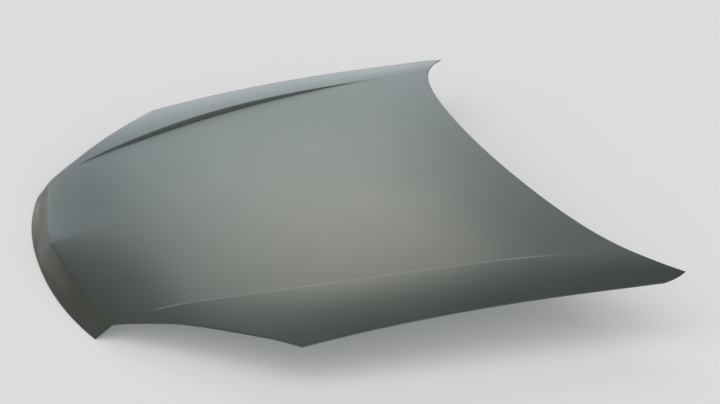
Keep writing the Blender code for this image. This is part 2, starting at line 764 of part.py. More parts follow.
def striker_loop(top, finish, parent):
    """A round wire bent into a U, hanging from its base plate."""
    reach = STRIKER_WIDTH / 2 - STRIKER_WIRE / 2
    low = top - STRIKER_DROP + STRIKER_WIRE / 2
    bends = [math.pi / 2 * step / WIRE_BEND_STEPS for step in range(WIRE_BEND_STEPS + 1)]
    corner = reach - STRIKER_BEND
    left = [(-corner - STRIKER_BEND * math.cos(a), low + STRIKER_BEND * (1 - math.sin(a))) for a in bends]
    right = [(-out, height) for out, height in left[::-1]]
    path = [(-reach, top), *left, *right, (reach, top)]
    curve = bpy.data.curves.new("striker_loop", "CURVE")
    curve.dimensions = "3D"
    curve.bevel_depth = STRIKER_WIRE / 2
    curve.bevel_resolution = 3
    curve.use_fill_caps = True
    spline = curve.splines.new("POLY")
    spline.points.add(len(path) - 1)
    for point, (out, height) in zip(spline.points, path):
        point.co = (out, LATCH_BACK, height, 1)
    curve.materials.append(finish)
    made = bpy.data.objects.new("striker_loop", curve)
    made.parent = parent
    bpy.context.scene.collection.objects.link(made)


def latch_fixings(steel, zinc, parent):
    """The latch pad's reinforcement above the frame, and the striker below it."""
    centre, _ = pad_centres()["latch"]
    pad = pad_height(centre)
    plate("latch_reinforcement", centre, LATCH_PLATE, pad + GAP, LATCH_PLATE_THICKNESS, [], steel, parent)
    bottom = pad - FRAME_THICKNESS - GAP - STRIKER_PLATE_THICKNESS
    plate("striker_plate", centre, STRIKER_PLATE, bottom, STRIKER_PLATE_THICKNESS, [], zinc, parent)
    striker_loop(bottom - GAP, zinc, parent)


def mastic_places():
    """Where the mastic dabs sit: the middle of each window side that lies inside the steps."""
    places = {}
    for window, corners in windows().items():
        if window.startswith("right"):
            continue
        starts, ends = corners[-3:], np.roll(corners, -1, axis=0)[-3:]
        for side, start, end in zip(("rear", "inner", "front"), starts, ends):
            along = end - start
            beyond = np.array([along[1], -along[0]]) / np.linalg.norm(along)
            place = (start + end) / 2 + beyond * WINDOW_FLANGE / 2
            places[f"{window}_{side}"] = place
            if window.startswith("left"):
                places[f"{window}_{side}".replace("left", "right")] = place * (-1, 1)
            elif side == "inner":
                places[f"{window}_outer"] = place * (-1, 1)
    return places


def mastic_dab(name, place, finish, parent):
    """A flat dab that fills the space between a window flange and the skin."""
    plan = np.concatenate([circle(place, MASTIC_RADIUS, MASTIC_SIDES), [place]])
    top, normals = lifted(skin_height, plan)
    top = top - normals * (SKIN_THICKNESS + GAP)
    bottom = frame_heights(plan, "window") + (0, 0, GAP)
    ring = np.arange(MASTIC_SIDES)
    fan = np.column_stack([ring, np.roll(ring, -1), np.full(MASTIC_SIDES, MASTIC_SIDES)])
    faces = [fan, fan[:, ::-1] + len(plan), strip(ring, ring + len(plan))]
    placed(name, np.concatenate([top, bottom]), np.concatenate(faces), finish, parent)


def bonnet():
    """The whole bonnet, stood on the floor with its length centred over the origin."""
    frame = bpy.data.objects.new("bonnet", None)
    bpy.context.scene.collection.objects.link(frame)
    primer = material("primer", PRIMER, 0.4)
    inside_primer = material("inside_primer", PRIMER_INSIDE, 0.5)
    zinc = material("zinc", ZINC, 0.35, 1.0)
    mastic = material("mastic", MASTIC, 0.8)
    skin = outer_skin(primer, frame)
    inner_frame(inside_primer, frame)
    hinge_fixings(inside_primer, zinc, frame)
    latch_fixings(inside_primer, zinc, frame)
    for name, place in mastic_places().items():
        mastic_dab("mastic_" + name, place, mastic, frame)
    corners = np.array([vertex.co for vertex in skin.data.vertices])
    low, high = corners.min(axis=0), corners.max(axis=0)
    frame.location = (0, -(low[1] + high[1]) / 2, -low[2])


for leftover in list(bpy.data.objects):
    bpy.data.objects.remove(leftover)
bonnet()
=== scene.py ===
# %% [markdown]
# # A car bonnet in grey-green primer
#
# This is a new bonnet as it comes from the press shop: two pressed sheets of steel, dipped in a satin
# grey-green primer. The outer skin is the part that everyone sees. It has a V-shaped nose with a sloping
# lip, a crease along the middle of the nose, and a long pressed step on each side. Its edge is folded
# round the inner frame, which carries the hinges and the latch striker underneath.
#
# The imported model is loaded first. It gives every piece at its real size, and nothing here moves it.

import math

import bmesh
import bpy
import numpy as np
from mathutils import Matrix, Vector
from mathutils.geometry import delaunay_2d_cdt


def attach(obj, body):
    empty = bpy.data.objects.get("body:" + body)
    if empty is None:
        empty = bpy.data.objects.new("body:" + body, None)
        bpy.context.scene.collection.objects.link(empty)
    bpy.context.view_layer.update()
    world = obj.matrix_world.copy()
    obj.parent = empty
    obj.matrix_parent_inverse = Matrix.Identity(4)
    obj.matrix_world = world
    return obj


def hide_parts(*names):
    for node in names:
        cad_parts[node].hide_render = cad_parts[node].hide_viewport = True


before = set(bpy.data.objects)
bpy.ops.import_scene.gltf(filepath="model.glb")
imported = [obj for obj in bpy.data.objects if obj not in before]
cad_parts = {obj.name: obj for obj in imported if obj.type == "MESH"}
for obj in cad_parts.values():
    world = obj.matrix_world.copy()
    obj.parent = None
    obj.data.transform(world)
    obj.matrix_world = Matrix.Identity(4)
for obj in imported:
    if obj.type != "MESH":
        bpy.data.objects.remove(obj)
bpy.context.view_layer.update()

# %% [markdown]
# ## The sizes
#
# The shapes below are formulas, so they need the same driving sizes as the solids. Places in plan are
# given as (out, back): the distance out from the centre line, and the distance back from the nose's tip.
# Two last values carry these places into the scene, where the floor is at height zero. The fine meshes
# reach a tenth of a millimetre past the solids' flat facets, so they are drawn in by as much.

# %% Sizes in plan, in metres
LENGTH = 1.227
REAR_BOW = 0.096
TAIL_SWEEP = 0.070
TAIL_SWEEP_POWER = 7
LIP_HALF_WIDTH = 0.396
LIP_CORNER_BACK = 0.055
LIP_SWEEP_POWER = 2.2
CREASE_HALF_WIDTH = 0.411
CREASE_BACK = 0.031
CREASE_END_BACK = 0.091
CREASE_SWEEP_POWER = 1.42
HALF_WIDTH = 0.7495
SHOULDER_HALF_WIDTH = HALF_WIDTH - 0.0395
SHOULDER_BACK = 0.410
HEADLAMP_BOW = 0.0062
TAIL_HALF_WIDTH = HALF_WIDTH - 0.023
TAIL_BOW = 0.0035
SIDE_END_BACK = LENGTH - 0.060
CENTRE_LENGTH = LENGTH - REAR_BOW - TAIL_SWEEP
NOSE_Y = -0.613738
LIFT = 0.0014767
DRAWN_IN = np.array([1, 0.9998, 0.9999])

# %% Heights of the skin, in metres
CREASE_HEIGHT = 0.0516
REAR_HEIGHT = 0.1638
RISE_POWER = 1.966
REAR_FALL = 0.0027
REAR_FALL_START = 0.850
CROWN_FRONT = 0.0552
CROWN_REAR = 0.0329
CROWN_FADE_POWER = 1.755
SHOULDER_SHARE = 0.2944
SHOULDER_POWER = 2.0
PROW_DEPTH = 0.0180
PROW_REACH = 0.099
PROW_LENGTH = 0.2745
PROW_SHORTENING = 0.27
PROW_FADE_POWER = 2.91
PROW_ROUNDING = 0.130
PROW_SHARP_SHARE = 0.16
LIP_FLARE_WIDTH = 0.016
LIP_FLARE_SLOPE = 0.60
LIP_FLARE_AT_CENTRE = 0.25
LIP_FLARE_FULL_AT = 0.4
LIP_FLARE_GOING_AT = 0.8
LIP_FLARE_ROUNDING = 0.0012
LIP_EDGE_RISE = 0.0007
CREASE_ROUNDING = 0.0016
STEP_START = (CREASE_HALF_WIDTH + 0.016, CREASE_END_BACK + 0.074)
STEP_END = (HALF_WIDTH - 0.146, LENGTH - 0.177)
STEP_BOW = 0.0305
STEP_BOW_POWERS = (1.5, 2.0)
STEP_HEIGHT = 0.0092
STEP_HEIGHT_POWERS = (1.1, 1.8)
STEP_WALL = 0.007
STEP_CREST = 0.010
STEP_CREST_SHARE = 0.16
STEP_LEFT_AT_EDGE = 0.7

# %% The sheets and the fold, in metres
SKIN_THICKNESS = 0.0008
FRAME_THICKNESS = 0.0007
GAP = 0.0003
HEM_WIDTH = 0.012
FOLD_RADIUS = (2 * SKIN_THICKNESS + FRAME_THICKNESS + 2 * GAP) / 2
FOLD_CLEARANCE = 0.0004
FRAME_EDGE = SKIN_THICKNESS + FOLD_CLEARANCE

# %% [markdown]
# ## The skin as one height over the plan
#
# A pressed panel has no undercuts, so its whole surface is one height over each place in plan. The height
# is the centre line's curve, less the crown that falls away to the sides, plus the step. Writing it as a
# formula keeps every mesh on the same surface, however fine it is.

# %% The skin's height
def between(first, second, share):
    """A share of the way from one value to another."""
    return first + (second - first) * share


def eased(t):
    """A rise from 0 to 1 that starts and ends level: three t squared minus two t cubed."""
    t = np.clip(t, 0, 1)
    return t * t * (3 - 2 * t)


def hump(t, powers):
    """0 to 1 and back to 0: t to the first power times (1 - t) to the second, over its own peak."""
    rise, fall = powers
    t = np.clip(t, 0, 1)
    peak = rise / (rise + fall)
    return t**rise * (1 - t) ** fall / (peak**rise * (1 - peak) ** fall)


def lip_back(out):
    """The lip's lower edge: the corner's distance back times a power of the share of the half width."""
    return LIP_CORNER_BACK * (np.abs(out) / LIP_HALF_WIDTH) ** LIP_SWEEP_POWER


def crease_back(out):
    """The crease above the lip, by the same rule with its own power."""
    share = (np.abs(out) / CREASE_HALF_WIDTH) ** CREASE_SWEEP_POWER
    return between(CREASE_BACK, CREASE_END_BACK, share)


def rear_back(out):
    """The rear edge: a shallow parabola plus a high power that sweeps back into the tails."""
    share = np.abs(out) / TAIL_HALF_WIDTH
    return CENTRE_LENGTH + REAR_BOW * share**2 + TAIL_SWEEP * share**TAIL_SWEEP_POWER


def along_step(back):
    return (back - STEP_START[1]) / (STEP_END[1] - STEP_START[1])


def step_out(back):
    """The middle of the step's wall: a straight line from its start to its end plus a hump outwards."""
    t = along_step(back)
    return between(STEP_START[0], STEP_END[0], t) + STEP_BOW * hump(t, STEP_BOW_POWERS)


def side_out(back):
    """The straight side edge, from the shoulder corner to the side's end."""
    t = (back - SHOULDER_BACK) / (SIDE_END_BACK - SHOULDER_BACK)
    return between(SHOULDER_HALF_WIDTH, HALF_WIDTH, t)


def step_rise(out, back):
    """What the step adds outside its wall: its height along the length, less towards the side.

    The wall is a steep S-curve for most of the height. The last share is a parabola over a wider crest,
    so that the pressed line has a soft round top that catches the light.
    """
    out = np.abs(out)
    middle = step_out(back)
    crest = 1 - (1 - np.clip((out - middle) / STEP_CREST, 0, 1)) ** 2
    wall = (1 - STEP_CREST_SHARE) * eased((out - middle) / STEP_WALL + 0.5) + STEP_CREST_SHARE * crest
    reach = np.clip((out - middle) / (side_out(back) - middle), 0, 1)
    height = STEP_HEIGHT * hump(along_step(back), STEP_HEIGHT_POWERS)
    return height * wall * (1 - (1 - STEP_LEFT_AT_EDGE) * reach**2)


def crown(out, back):
    """The fall from the centre line: a parabola, a bend past the step, and the ridge of the prow.

    The ridge is mostly the root of (out squared + rounding squared), less the rounding, which is round
    along its top. A small share of it is the plain distance out, which leaves a faint sharp line.
    """
    t = np.clip((back - CREASE_BACK) / (LENGTH - CREASE_BACK), 0, 1)
    fall = between(CROWN_FRONT, CROWN_REAR, t**CROWN_FADE_POWER)
    out = np.abs(out)
    middle = step_out(back)
    past_step = np.clip((out - middle) / (HALF_WIDTH - middle), 0, None)
    bend = (1 - SHOULDER_SHARE) * (out / HALF_WIDTH) ** 2 + SHOULDER_SHARE * past_step**SHOULDER_POWER
    rounded_ridge = np.sqrt(out**2 + PROW_ROUNDING**2) - PROW_ROUNDING
    ridge = PROW_SHARP_SHARE * out + (1 - PROW_SHARP_SHARE) * rounded_ridge
    prow = PROW_DEPTH * (1 - np.exp(-ridge / PROW_REACH))
    length = PROW_LENGTH * (1 - PROW_SHORTENING * out / CREASE_HALF_WIDTH)
    behind_crease = np.clip((back - crease_back(out)) / length, 0, 1)
    return fall * bend + prow * (1 - behind_crease) ** PROW_FADE_POWER


def panel_height(out, back):
    """The top panel without its steps: the centre line's height less the crown."""
    t = np.clip((back - CREASE_BACK) / (CENTRE_LENGTH - CREASE_BACK), 0, 1)
    centre = between(REAR_HEIGHT, CREASE_HEIGHT, (1 - t) ** RISE_POWER)
    fall = REAR_FALL * eased((back - REAR_FALL_START) / (LENGTH - REAR_FALL_START))
    return centre - fall - crown(out, back)


def soft_lower(first, second, rounding):
    """The lower of two values, rounded where they cross: half of (a + b - the root of ((a - b) squared
    + rounding squared))."""
    return (first + second - np.sqrt((first - second) ** 2 + rounding**2)) / 2


def with_lip(height, out, back):
    """The lower of the lip and the panel, with the crease between them rounded.

    The lip is bent once along its length: it flares forward at its lower edge, and is steeper above
    that. The flare is narrow at the centre line, widens to the sides, and is gone at the lip's corner.
    Its edge is a little higher, because a fold on a flatter sheet reaches further down.
    """
    ends = np.minimum(np.abs(out), CREASE_HALF_WIDTH)
    crease, low = crease_back(ends), lip_back(ends)
    share = (back - low) / (crease - low)
    top = panel_height(ends, crease)
    place = ends / LIP_HALF_WIDTH
    widened = between(LIP_FLARE_AT_CENTRE, 1, eased(place / LIP_FLARE_FULL_AT))
    width = LIP_FLARE_WIDTH * widened
    flare = LIP_FLARE_SLOPE * (back - low)
    steep = top - (top - LIP_FLARE_SLOPE * width) * (crease - back) / (crease - low - width)
    bent = -soft_lower(-flare, -steep, LIP_FLARE_ROUNDING * eased(share))
    flared = 1 - eased((place - LIP_FLARE_GOING_AT) / (1 - LIP_FLARE_GOING_AT))
    bent = bent + LIP_EDGE_RISE * np.clip(1 - share, 0, 1)
    lip = between(top * share, bent, flared)
    return soft_lower(lip, height, CREASE_ROUNDING * eased(share))


def skin_height(out, back):
    return with_lip(panel_height(out, back) + step_rise(out, back), out, back)


def plain_height(out, back):
    """The skin without its steps, which the inner frame follows away from the edge."""
    return with_lip(panel_height(out, back), out, back)


print("height of the skin at the rear of the centre line:", round(float(skin_height(0.0, CENTRE_LENGTH)), 4))

# %% [markdown]
# ## From a plan to a mesh
#
# Each mesh starts as places in plan. They are raised to the surface, and the surface's normal there gives
# the direction for the sheet's thickness. The normal comes from the slope, which is measured by stepping
# a little to each side.

# %% Raise a plan to the surface
SLOPE_PROBE = 0.0005


def unit(vectors):
    """The same vectors with a length of one each."""
    return vectors / np.linalg.norm(vectors, axis=1)[:, None]


def angles_round(count):
    """Evenly spaced angles once round a circle."""
    return 2 * math.pi * np.arange(count) / count


def raised(height, plan):
    """Points (out, back, height) and unit normals (minus slope out, minus slope back, one)."""
    out, back = plan[:, 0], plan[:, 1]
    rise_out = height(out + SLOPE_PROBE, back) - height(out - SLOPE_PROBE, back)
    rise_back = height(out, back + SLOPE_PROBE) - height(out, back - SLOPE_PROBE)
    normals = np.stack([-rise_out, -rise_back, np.full(len(plan), 2 * SLOPE_PROBE)], 1)
    return np.column_stack([out, back, height(out, back)]), unit(normals)


def mitres(loop):
    """For each corner of an anticlockwise loop, the way that an inset of its sides by 1 moves it."""
    before, after = unit(loop - np.roll(loop, 1, axis=0)), unit(np.roll(loop, -1, axis=0) - loop)
    both = (before + after)[:, ::-1] * (-1, 1)
    return both * 2 / (both**2).sum(axis=1)[:, None]


SHARP_TURN = math.radians(9)
PULL_REACH = 4


def corner_pull(outline, inset):
    """How the points beside each corner slide along their edge, so that inset points never cross.

    A corner's mitre is its side's normal plus a pull along the side. Each neighbour gets the same pull
    times a share, one at the corner and fading to nothing over a reach of four times the pull.
    """
    before = outline - np.roll(outline, 1, axis=0)
    length = np.linalg.norm(before, axis=1)
    before = before / length[:, None]
    after = np.roll(before, -1, axis=0)
    turn = np.arctan2(before[:, 0] * after[:, 1] - before[:, 1] * after[:, 0], (before * after).sum(axis=1))
    travelled = np.cumsum(length)
    mitre = mitres(outline)
    corners = np.flatnonzero(np.abs(turn) > SHARP_TURN)
    pulls = np.zeros_like(outline)
    for corner in corners:
        for along, way in ((before[corner], -1), (after[corner], 1)):
            pull = mitre[corner] - np.array([-along[1], along[0]])
            distance = (way * (travelled - travelled[corner])) % travelled[-1]
            others = distance[corners][distance[corners] > 0]
            reach = min(PULL_REACH * inset * np.linalg.norm(pull), others.min())
            share = np.clip(1 - distance / reach, 0, 1)
            share[corner] = 0
            pulls += pull * share[:, None]
    return mitre, pulls


def inset_plan(outline, inset):
    """An outline's points moved inwards, with the inset measured along the sloping skin."""
    turned, pulls = corner_pull(outline, inset)
    _, normals = raised(skin_height, outline + turned * HEM_WIDTH / 2)
    rise = -(turned * normals[:, :2]).sum(axis=1) / normals[:, 2]
    length = np.linalg.norm(turned, axis=1)
    return outline + (turned * (length / np.hypot(length, rise))[:, None] + pulls) * inset


# %% Make a mesh object from arrays
SHARP_EDGE = math.radians(40)


def sheet_piece(name, points, faces):
    """A piece from arrays of points, in (out, back, height), and faces, shaded smooth but for its edges."""
    mesh = bpy.data.meshes.new(name)
    placed = (points + np.array([0, NOSE_Y, LIFT])) * DRAWN_IN
    mesh.from_pydata(placed.tolist(), [], faces.tolist() if isinstance(faces, np.ndarray) else faces)
    shape = bmesh.new()
    shape.from_mesh(mesh)
    bmesh.ops.recalc_face_normals(shape, faces=shape.faces)
    shape.to_mesh(mesh)
    shape.free()
    mesh.shade_smooth()
    mesh.set_sharp_from_angle(angle=SHARP_EDGE)
    piece = bpy.data.objects.new(name, mesh)
    bpy.context.scene.collection.objects.link(piece)
    print(name, "faces:", len(mesh.polygons))
    return piece


def ring_strip(first, second):
    """Quads between two closed rings of point numbers of the same length."""
    return np.column_stack([first, second, np.roll(second, -1), np.roll(first, -1)])


# %% [markdown]
# ## The outer skin
#
# The panel has four sides, so a grid fits it: rows run from side to side, and columns from the lip to the
# rear edge. The side is made of four stretches, the lip's end, the headlamp cut, the long side and the
# tail, and each gets its own rows so that no corner is cut off. The columns bend so that several of them
# follow the step's narrow wall all the way, which keeps that pressed line crisp.

# %% The grid's rows
CENTRE_STOPS = (0.0, CREASE_BACK, 0.345, 1.005, CENTRE_LENGTH)
SIDE_STOPS = (
    (LIP_HALF_WIDTH, LIP_CORNER_BACK),
    (CREASE_HALF_WIDTH, CREASE_END_BACK),
    (SHOULDER_HALF_WIDTH, SHOULDER_BACK),
    (HALF_WIDTH, SIDE_END_BACK),
    (TAIL_HALF_WIDTH, LENGTH),
)
SIDE_BOWS = (0.0, HEADLAMP_BOW, 0.0, -TAIL_BOW)
ROW_COUNTS = (16, 60, 92, 12)
CROWDING = (lambda t: 1 - (1 - t) ** 1.7, lambda t: t**1.5, lambda t: t, lambda t: t)


def sweep_rules(share):
    """How far along its own sweep each stop's row has come at a share of the half width."""
    rear = (REAR_BOW * share**2 + TAIL_SWEEP * share**TAIL_SWEEP_POWER) / (REAR_BOW + TAIL_SWEEP)
    return share**LIP_SWEEP_POWER, share**CREASE_SWEEP_POWER, share**2, rear, rear


def rows():
    """For each row: its stretch, its place t in it, its end on the side edge and its middle."""
    found = []
    for stretch, count in enumerate(ROW_COUNTS):
        last = stretch == len(ROW_COUNTS) - 1
        t = CROWDING[stretch](np.arange(count + last) / count)
        start, end = np.array(SIDE_STOPS[stretch]), np.array(SIDE_STOPS[stretch + 1])
        along = end - start
        left = np.array([-along[1], along[0]]) / np.linalg.norm(along)
        side = start + along * t[:, None] + left * SIDE_BOWS[stretch] * (4 * t * (1 - t))[:, None]
        middle = between(*CENTRE_STOPS[stretch : stretch + 2], t)
        found.append(np.column_stack([np.full(len(t), stretch), t, side, middle]))
    return np.concatenate(found)


def row_back(share, row):
    """Back = middle + (side - middle) times the sweep, mixed between the two stops of the stretch."""
    stretch, t, _, side, middle = row.T[:, :, None]
    rules = np.stack(sweep_rules(share))
    number, place = stretch.astype(int)[:, 0], np.arange(len(row))
    sweep = rules[number, place] * (1 - t) + rules[number + 1, place] * t
    return between(middle, side, sweep)


# %% The grid's columns, and the plan of the whole grid
COLUMN_COUNTS = (60, 14, 24)
WALL_MARGIN = 0.0105
RIDGE_CROWDING = 1.25
STEP_GUESS = 0.8
STEP_RANGE = (0.6, 0.93)
STEP_ROUNDS = 12


def skin_plan():
    """The grid's places: out = share times the row's half width, with columns along the step's wall.

    Where each row meets the step is found by stepping to it a few times. Across the wall and outside it
    the columns are spread evenly. Inside it they crowd a little to the ridge on the centre line.
    """
    row = rows()
    half = row[:, 2:3]
    meets = np.full((len(row), 1), STEP_GUESS)
    for _ in range(STEP_ROUNDS):
        meets = np.clip(step_out(row_back(meets, row)) / half, *STEP_RANGE)
    wall = WALL_MARGIN / half
    inner, across, outer = COLUMN_COUNTS
    shares = np.concatenate([
        (meets - wall) * (np.arange(inner) / inner) ** RIDGE_CROWDING,
        meets - wall + 2 * wall * np.arange(across) / across,
        meets + wall + (1 - meets - wall) * np.arange(outer + 1) / outer,
    ], axis=1)
    back = row_back(shares, row)
    out = shares * half
    right = np.stack([out, back], axis=2)
    return np.concatenate([right[:, :0:-1] * (-1, 1), right], axis=1)


def border(shape):
    """The numbers of a grid's border points, anticlockwise from its first corner."""
    numbers = np.arange(shape[0] * shape[1]).reshape(shape)
    return np.concatenate([numbers[0, :-1], numbers[:-1, -1], numbers[-1, :0:-1], numbers[:0:-1, 0]])


# %% [markdown]
# The edge of a bonnet skin isn't a cut edge: the sheet is folded right round the inner frame's edge and
# pressed flat. A fold like that is a profile carried along a path. Its profile is a half circle round the
# outside, the flat flange, and the half circle back on the inside, and its path is the panel's outline.

# %% The outer skin
FOLD_STEPS = 8


def hem_profile():
    """The fold's section as (inset, depth) pairs, R - r sin a and R - r cos a: R is the fold's radius, and
    r is R on the outer face and less by the sheet's thickness on the inner one."""
    angles = [math.pi * step / FOLD_STEPS for step in range(1, FOLD_STEPS + 1)]
    outer, inner = [
        [(FOLD_RADIUS - radius * math.sin(a), FOLD_RADIUS - radius * math.cos(a)) for a in angles]
        for radius in (FOLD_RADIUS, FOLD_RADIUS - SKIN_THICKNESS)
    ]
    flange = [(HEM_WIDTH, 2 * FOLD_RADIUS), (HEM_WIDTH, 2 * FOLD_RADIUS - SKIN_THICKNESS)]
    return outer + flange + inner[::-1]


def outer_skin():
    """The whole skin: the grid as its face, a second grid below it, and the hem between their borders."""
    grid = skin_plan()
    shape = grid.shape[:2]
    plan = grid.reshape(-1, 2)
    edge = border(shape)
    outline = plan[edge].copy()
    plan[edge] = inset_plan(outline, FOLD_RADIUS)
    top, normals = raised(skin_height, plan)
    under = top - normals * SKIN_THICKNESS
    hem = []
    for inset, depth in hem_profile():
        points, across = raised(skin_height, inset_plan(outline, inset))
        hem.append(points - across * depth)
    numbers = np.arange(len(plan)).reshape(shape)
    ahead, behind = numbers[:-1], numbers[1:]
    quads = np.stack([ahead[:, :-1], ahead[:, 1:], behind[:, 1:], behind[:, :-1]], -1).reshape(-1, 4)
    hem_numbers = 2 * len(plan) + np.arange(len(hem) * len(edge)).reshape(len(hem), -1)
    rings = [edge, *hem_numbers, edge + len(plan)]
    faces = [quads, quads[:, ::-1] + len(plan)]
    faces += [ring_strip(first, second)[:, ::-1] for first, second in zip(rings[:-1], rings[1:])]
    piece = sheet_piece("outer_skin_panel", np.concatenate([top, under, *hem]), np.concatenate(faces))
    return piece, outline


skin, OUTLINE = outer_skin()
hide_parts("outer_skin")
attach(skin, "root")

# %% [markdown]
# ## The inner frame
#
# Under the skin lies a second pressing. It drops away from the skin in a channel all round, stiff like a
# box, and its beams stand between six windows that save weight. Its shape is the skin's height less a
# depth, and the depth depends only on how far a place is from the channel's line and from the windows.
# So the first thing needed is the distance from a place to a line.

# %% Round-cornered lines, and the distance to them
CORNER_STEPS = 8
FEWEST_POINTS = 8
NO_LENGTH = 1e-12


def rounded(corners, radius):
    """An anticlockwise loop whose corners are arcs, whichever way each of them turns."""
    corners = np.array(corners, float)
    points = []
    for last, corner, after in zip(np.roll(corners, 1, axis=0), corners, np.roll(corners, -1, axis=0)):
        to_last = (last - corner) / np.linalg.norm(last - corner)
        to_next = (after - corner) / np.linalg.norm(after - corner)
        half = math.acos(np.clip(to_last @ to_next, -1, 1)) / 2
        inward = (to_last + to_next) / np.linalg.norm(to_last + to_next)
        middle = corner + inward * radius / math.sin(half)
        start = corner + to_last * radius / math.tan(half) - middle
        side = np.sign(to_next[0] * to_last[1] - to_next[1] * to_last[0])
        angle = side * (math.pi - 2 * half) * np.arange(CORNER_STEPS) / (CORNER_STEPS - 1)
        turned_x = start[0] * np.cos(angle) - start[1] * np.sin(angle)
        turned_y = start[0] * np.sin(angle) + start[1] * np.cos(angle)
        points.append(middle + np.column_stack([turned_x, turned_y]))
    return np.concatenate(points)


def respaced(loop, spacing):
    """The same closed line with its points evenly apart, as near to the spacing as they can be."""
    closed = np.concatenate([loop, loop[:1]])
    lengths = np.linalg.norm(np.diff(closed, axis=0), axis=1)
    travelled = np.concatenate([[0], np.cumsum(lengths)])
    count = max(FEWEST_POINTS, round(travelled[-1] / spacing))
    at = travelled[-1] * np.arange(count) / count
    return np.column_stack([np.interp(at, travelled, closed[:, axis]) for axis in (0, 1)])


def inside(points, loop):
    """Which places lie inside a loop, by counting the sides that a ray crosses."""
    after = np.roll(loop, -1, axis=0)
    x, y = points[:, 0][:, None], points[:, 1][:, None]
    crosses = (loop[:, 1] > y) != (after[:, 1] > y)
    height = np.where(after[:, 1] == loop[:, 1], 1, after[:, 1] - loop[:, 1])
    at = loop[:, 0] + (y - loop[:, 1]) * (after[:, 0] - loop[:, 0]) / height
    return (crosses & (x < at)).sum(axis=1) % 2 == 1


def segment_distance(points, start, end):
    """The distance to a straight line between two places.

    The nearest point is the start plus a share of the line, and the share is the offset times the line
    over the line squared, kept from 0 to 1.
    """
    along = end - start
    share = np.clip((points - start) @ along / (along @ along + NO_LENGTH), 0, 1)
    return np.linalg.norm(points - start - share[:, None] * along, axis=1)


def distance_beyond(points, loop):
    """The distance to a loop, positive outside it and negative inside."""
    nearest = np.full(len(points), np.inf)
    for start, end in zip(loop, np.roll(loop, -1, axis=0)):
        nearest = np.minimum(nearest, segment_distance(points, start, end))
    return np.where(inside(points, loop), -nearest, nearest)


# %% Sizes of the inner frame, in metres
HEM_TO_SHOULDER = 0.010
SHOULDER_DEPTH = 0.001
CHANNEL_WALL = 0.016
CHANNEL_DEPTH = 0.022
CHANNEL_RADIUS = 0.050
WINDOW_RADIUS = 0.035
WINDOW_FLANGE = 0.016
WINDOW_WALL = 0.014
MASTIC_GAP = 0.0034
FRONT_PANEL = 0.255
CROSS_BEAM = 0.105
REAR_BEAM = 0.136
FRONT_ROW_SHARE = 0.434
FRONT_CORNER_SHARE = 0.633
FRONT_CENTRE_HALF_WIDTHS = (0.125, 0.165)
REAR_CENTRE_HALF_WIDTHS = (0.185, 0.230)
BEAM_WIDTH = 0.088
FRONT_WINDOWS_TO_EDGE = (0.170, 0.185, 0.170)
REAR_WINDOWS_TO_EDGE = (0.145, 0.137)
HINGE_TO_SIDE = 0.1445
HINGE_TO_REAR = 0.107
HINGE_PAD = (0.062, 0.096)
HINGE_BOLT_PITCH = 0.050
BOLT_HOLE_RADIUS = 0.0045
LATCH_BACK = 0.138
LATCH_PAD = (0.130, 0.078)
PAD_CORNER = 0.008
PAD_BLEND = 0.026

# %% Where the channel, the windows and the pads lie
CHANNEL_START = HEM_WIDTH + HEM_TO_SHOULDER
FRONT_SHARES = np.array([0, 0.5, 1])
REAR_SHARES = np.array([0.9, 0.75, 0.5, 0.25, 0])
TAIL_START = SIDE_END_BACK - CHANNEL_START - CHANNEL_WALL


def edge_out(back):
    t = (back - CREASE_END_BACK) / (SHOULDER_BACK - CREASE_END_BACK)
    return float(min(between(CREASE_HALF_WIDTH, SHOULDER_HALF_WIDTH, t), side_out(back)))


def channel_corners():
    """The outline's main corners without the tails, on both sides of the centre line."""
    outs = FRONT_SHARES * LIP_HALF_WIDTH
    front = np.column_stack([outs, lip_back(outs)])
    crease_end = [(CREASE_HALF_WIDTH, CREASE_END_BACK)]
    side = [(SHOULDER_HALF_WIDTH, SHOULDER_BACK), (side_out(TAIL_START), TAIL_START)]
    rear = REAR_SHARES * TAIL_HALF_WIDTH
    half = np.concatenate([front, crease_end, side, np.column_stack([rear, rear_back(rear)])])
    return np.concatenate([half, half[-2:0:-1] * (-1, 1)])


def window_corners():
    """The six windows' corners, the left ones mirrored to the right."""
    both_rows = CENTRE_LENGTH - REAR_BEAM - FRONT_PANEL - CROSS_BEAM
    front = (FRONT_PANEL, FRONT_PANEL + both_rows * FRONT_ROW_SHARE)
    rear = (front[1] + CROSS_BEAM, CENTRE_LENGTH - REAR_BEAM)
    corner = between(*front, FRONT_CORNER_SHARE)
    found = []
    for backs, edge_backs, halves, to_edge in (
        (front, (front[0], corner, front[1]), FRONT_CENTRE_HALF_WIDTHS, FRONT_WINDOWS_TO_EDGE),
        (rear, rear, REAR_CENTRE_HALF_WIDTHS, REAR_WINDOWS_TO_EDGE),
    ):
        half = np.column_stack([halves, backs])
        outer = [(edge_out(back) - margin, back) for back, margin in zip(edge_backs, to_edge)]
        left = np.concatenate([outer, half[::-1] + (BEAM_WIDTH, 0)])
        found += [np.concatenate([half, half[::-1] * (-1, 1)]), left, left[::-1] * (-1, 1)]
    return found, front, rear


def pad_loop(centre, size):
    across, along = size[0] / 2, size[1] / 2
    signs = ((-1, -1), (1, -1), (1, 1), (-1, 1))
    return rounded([(centre[0] + across * x, centre[1] + along * y) for x, y in signs], PAD_CORNER)


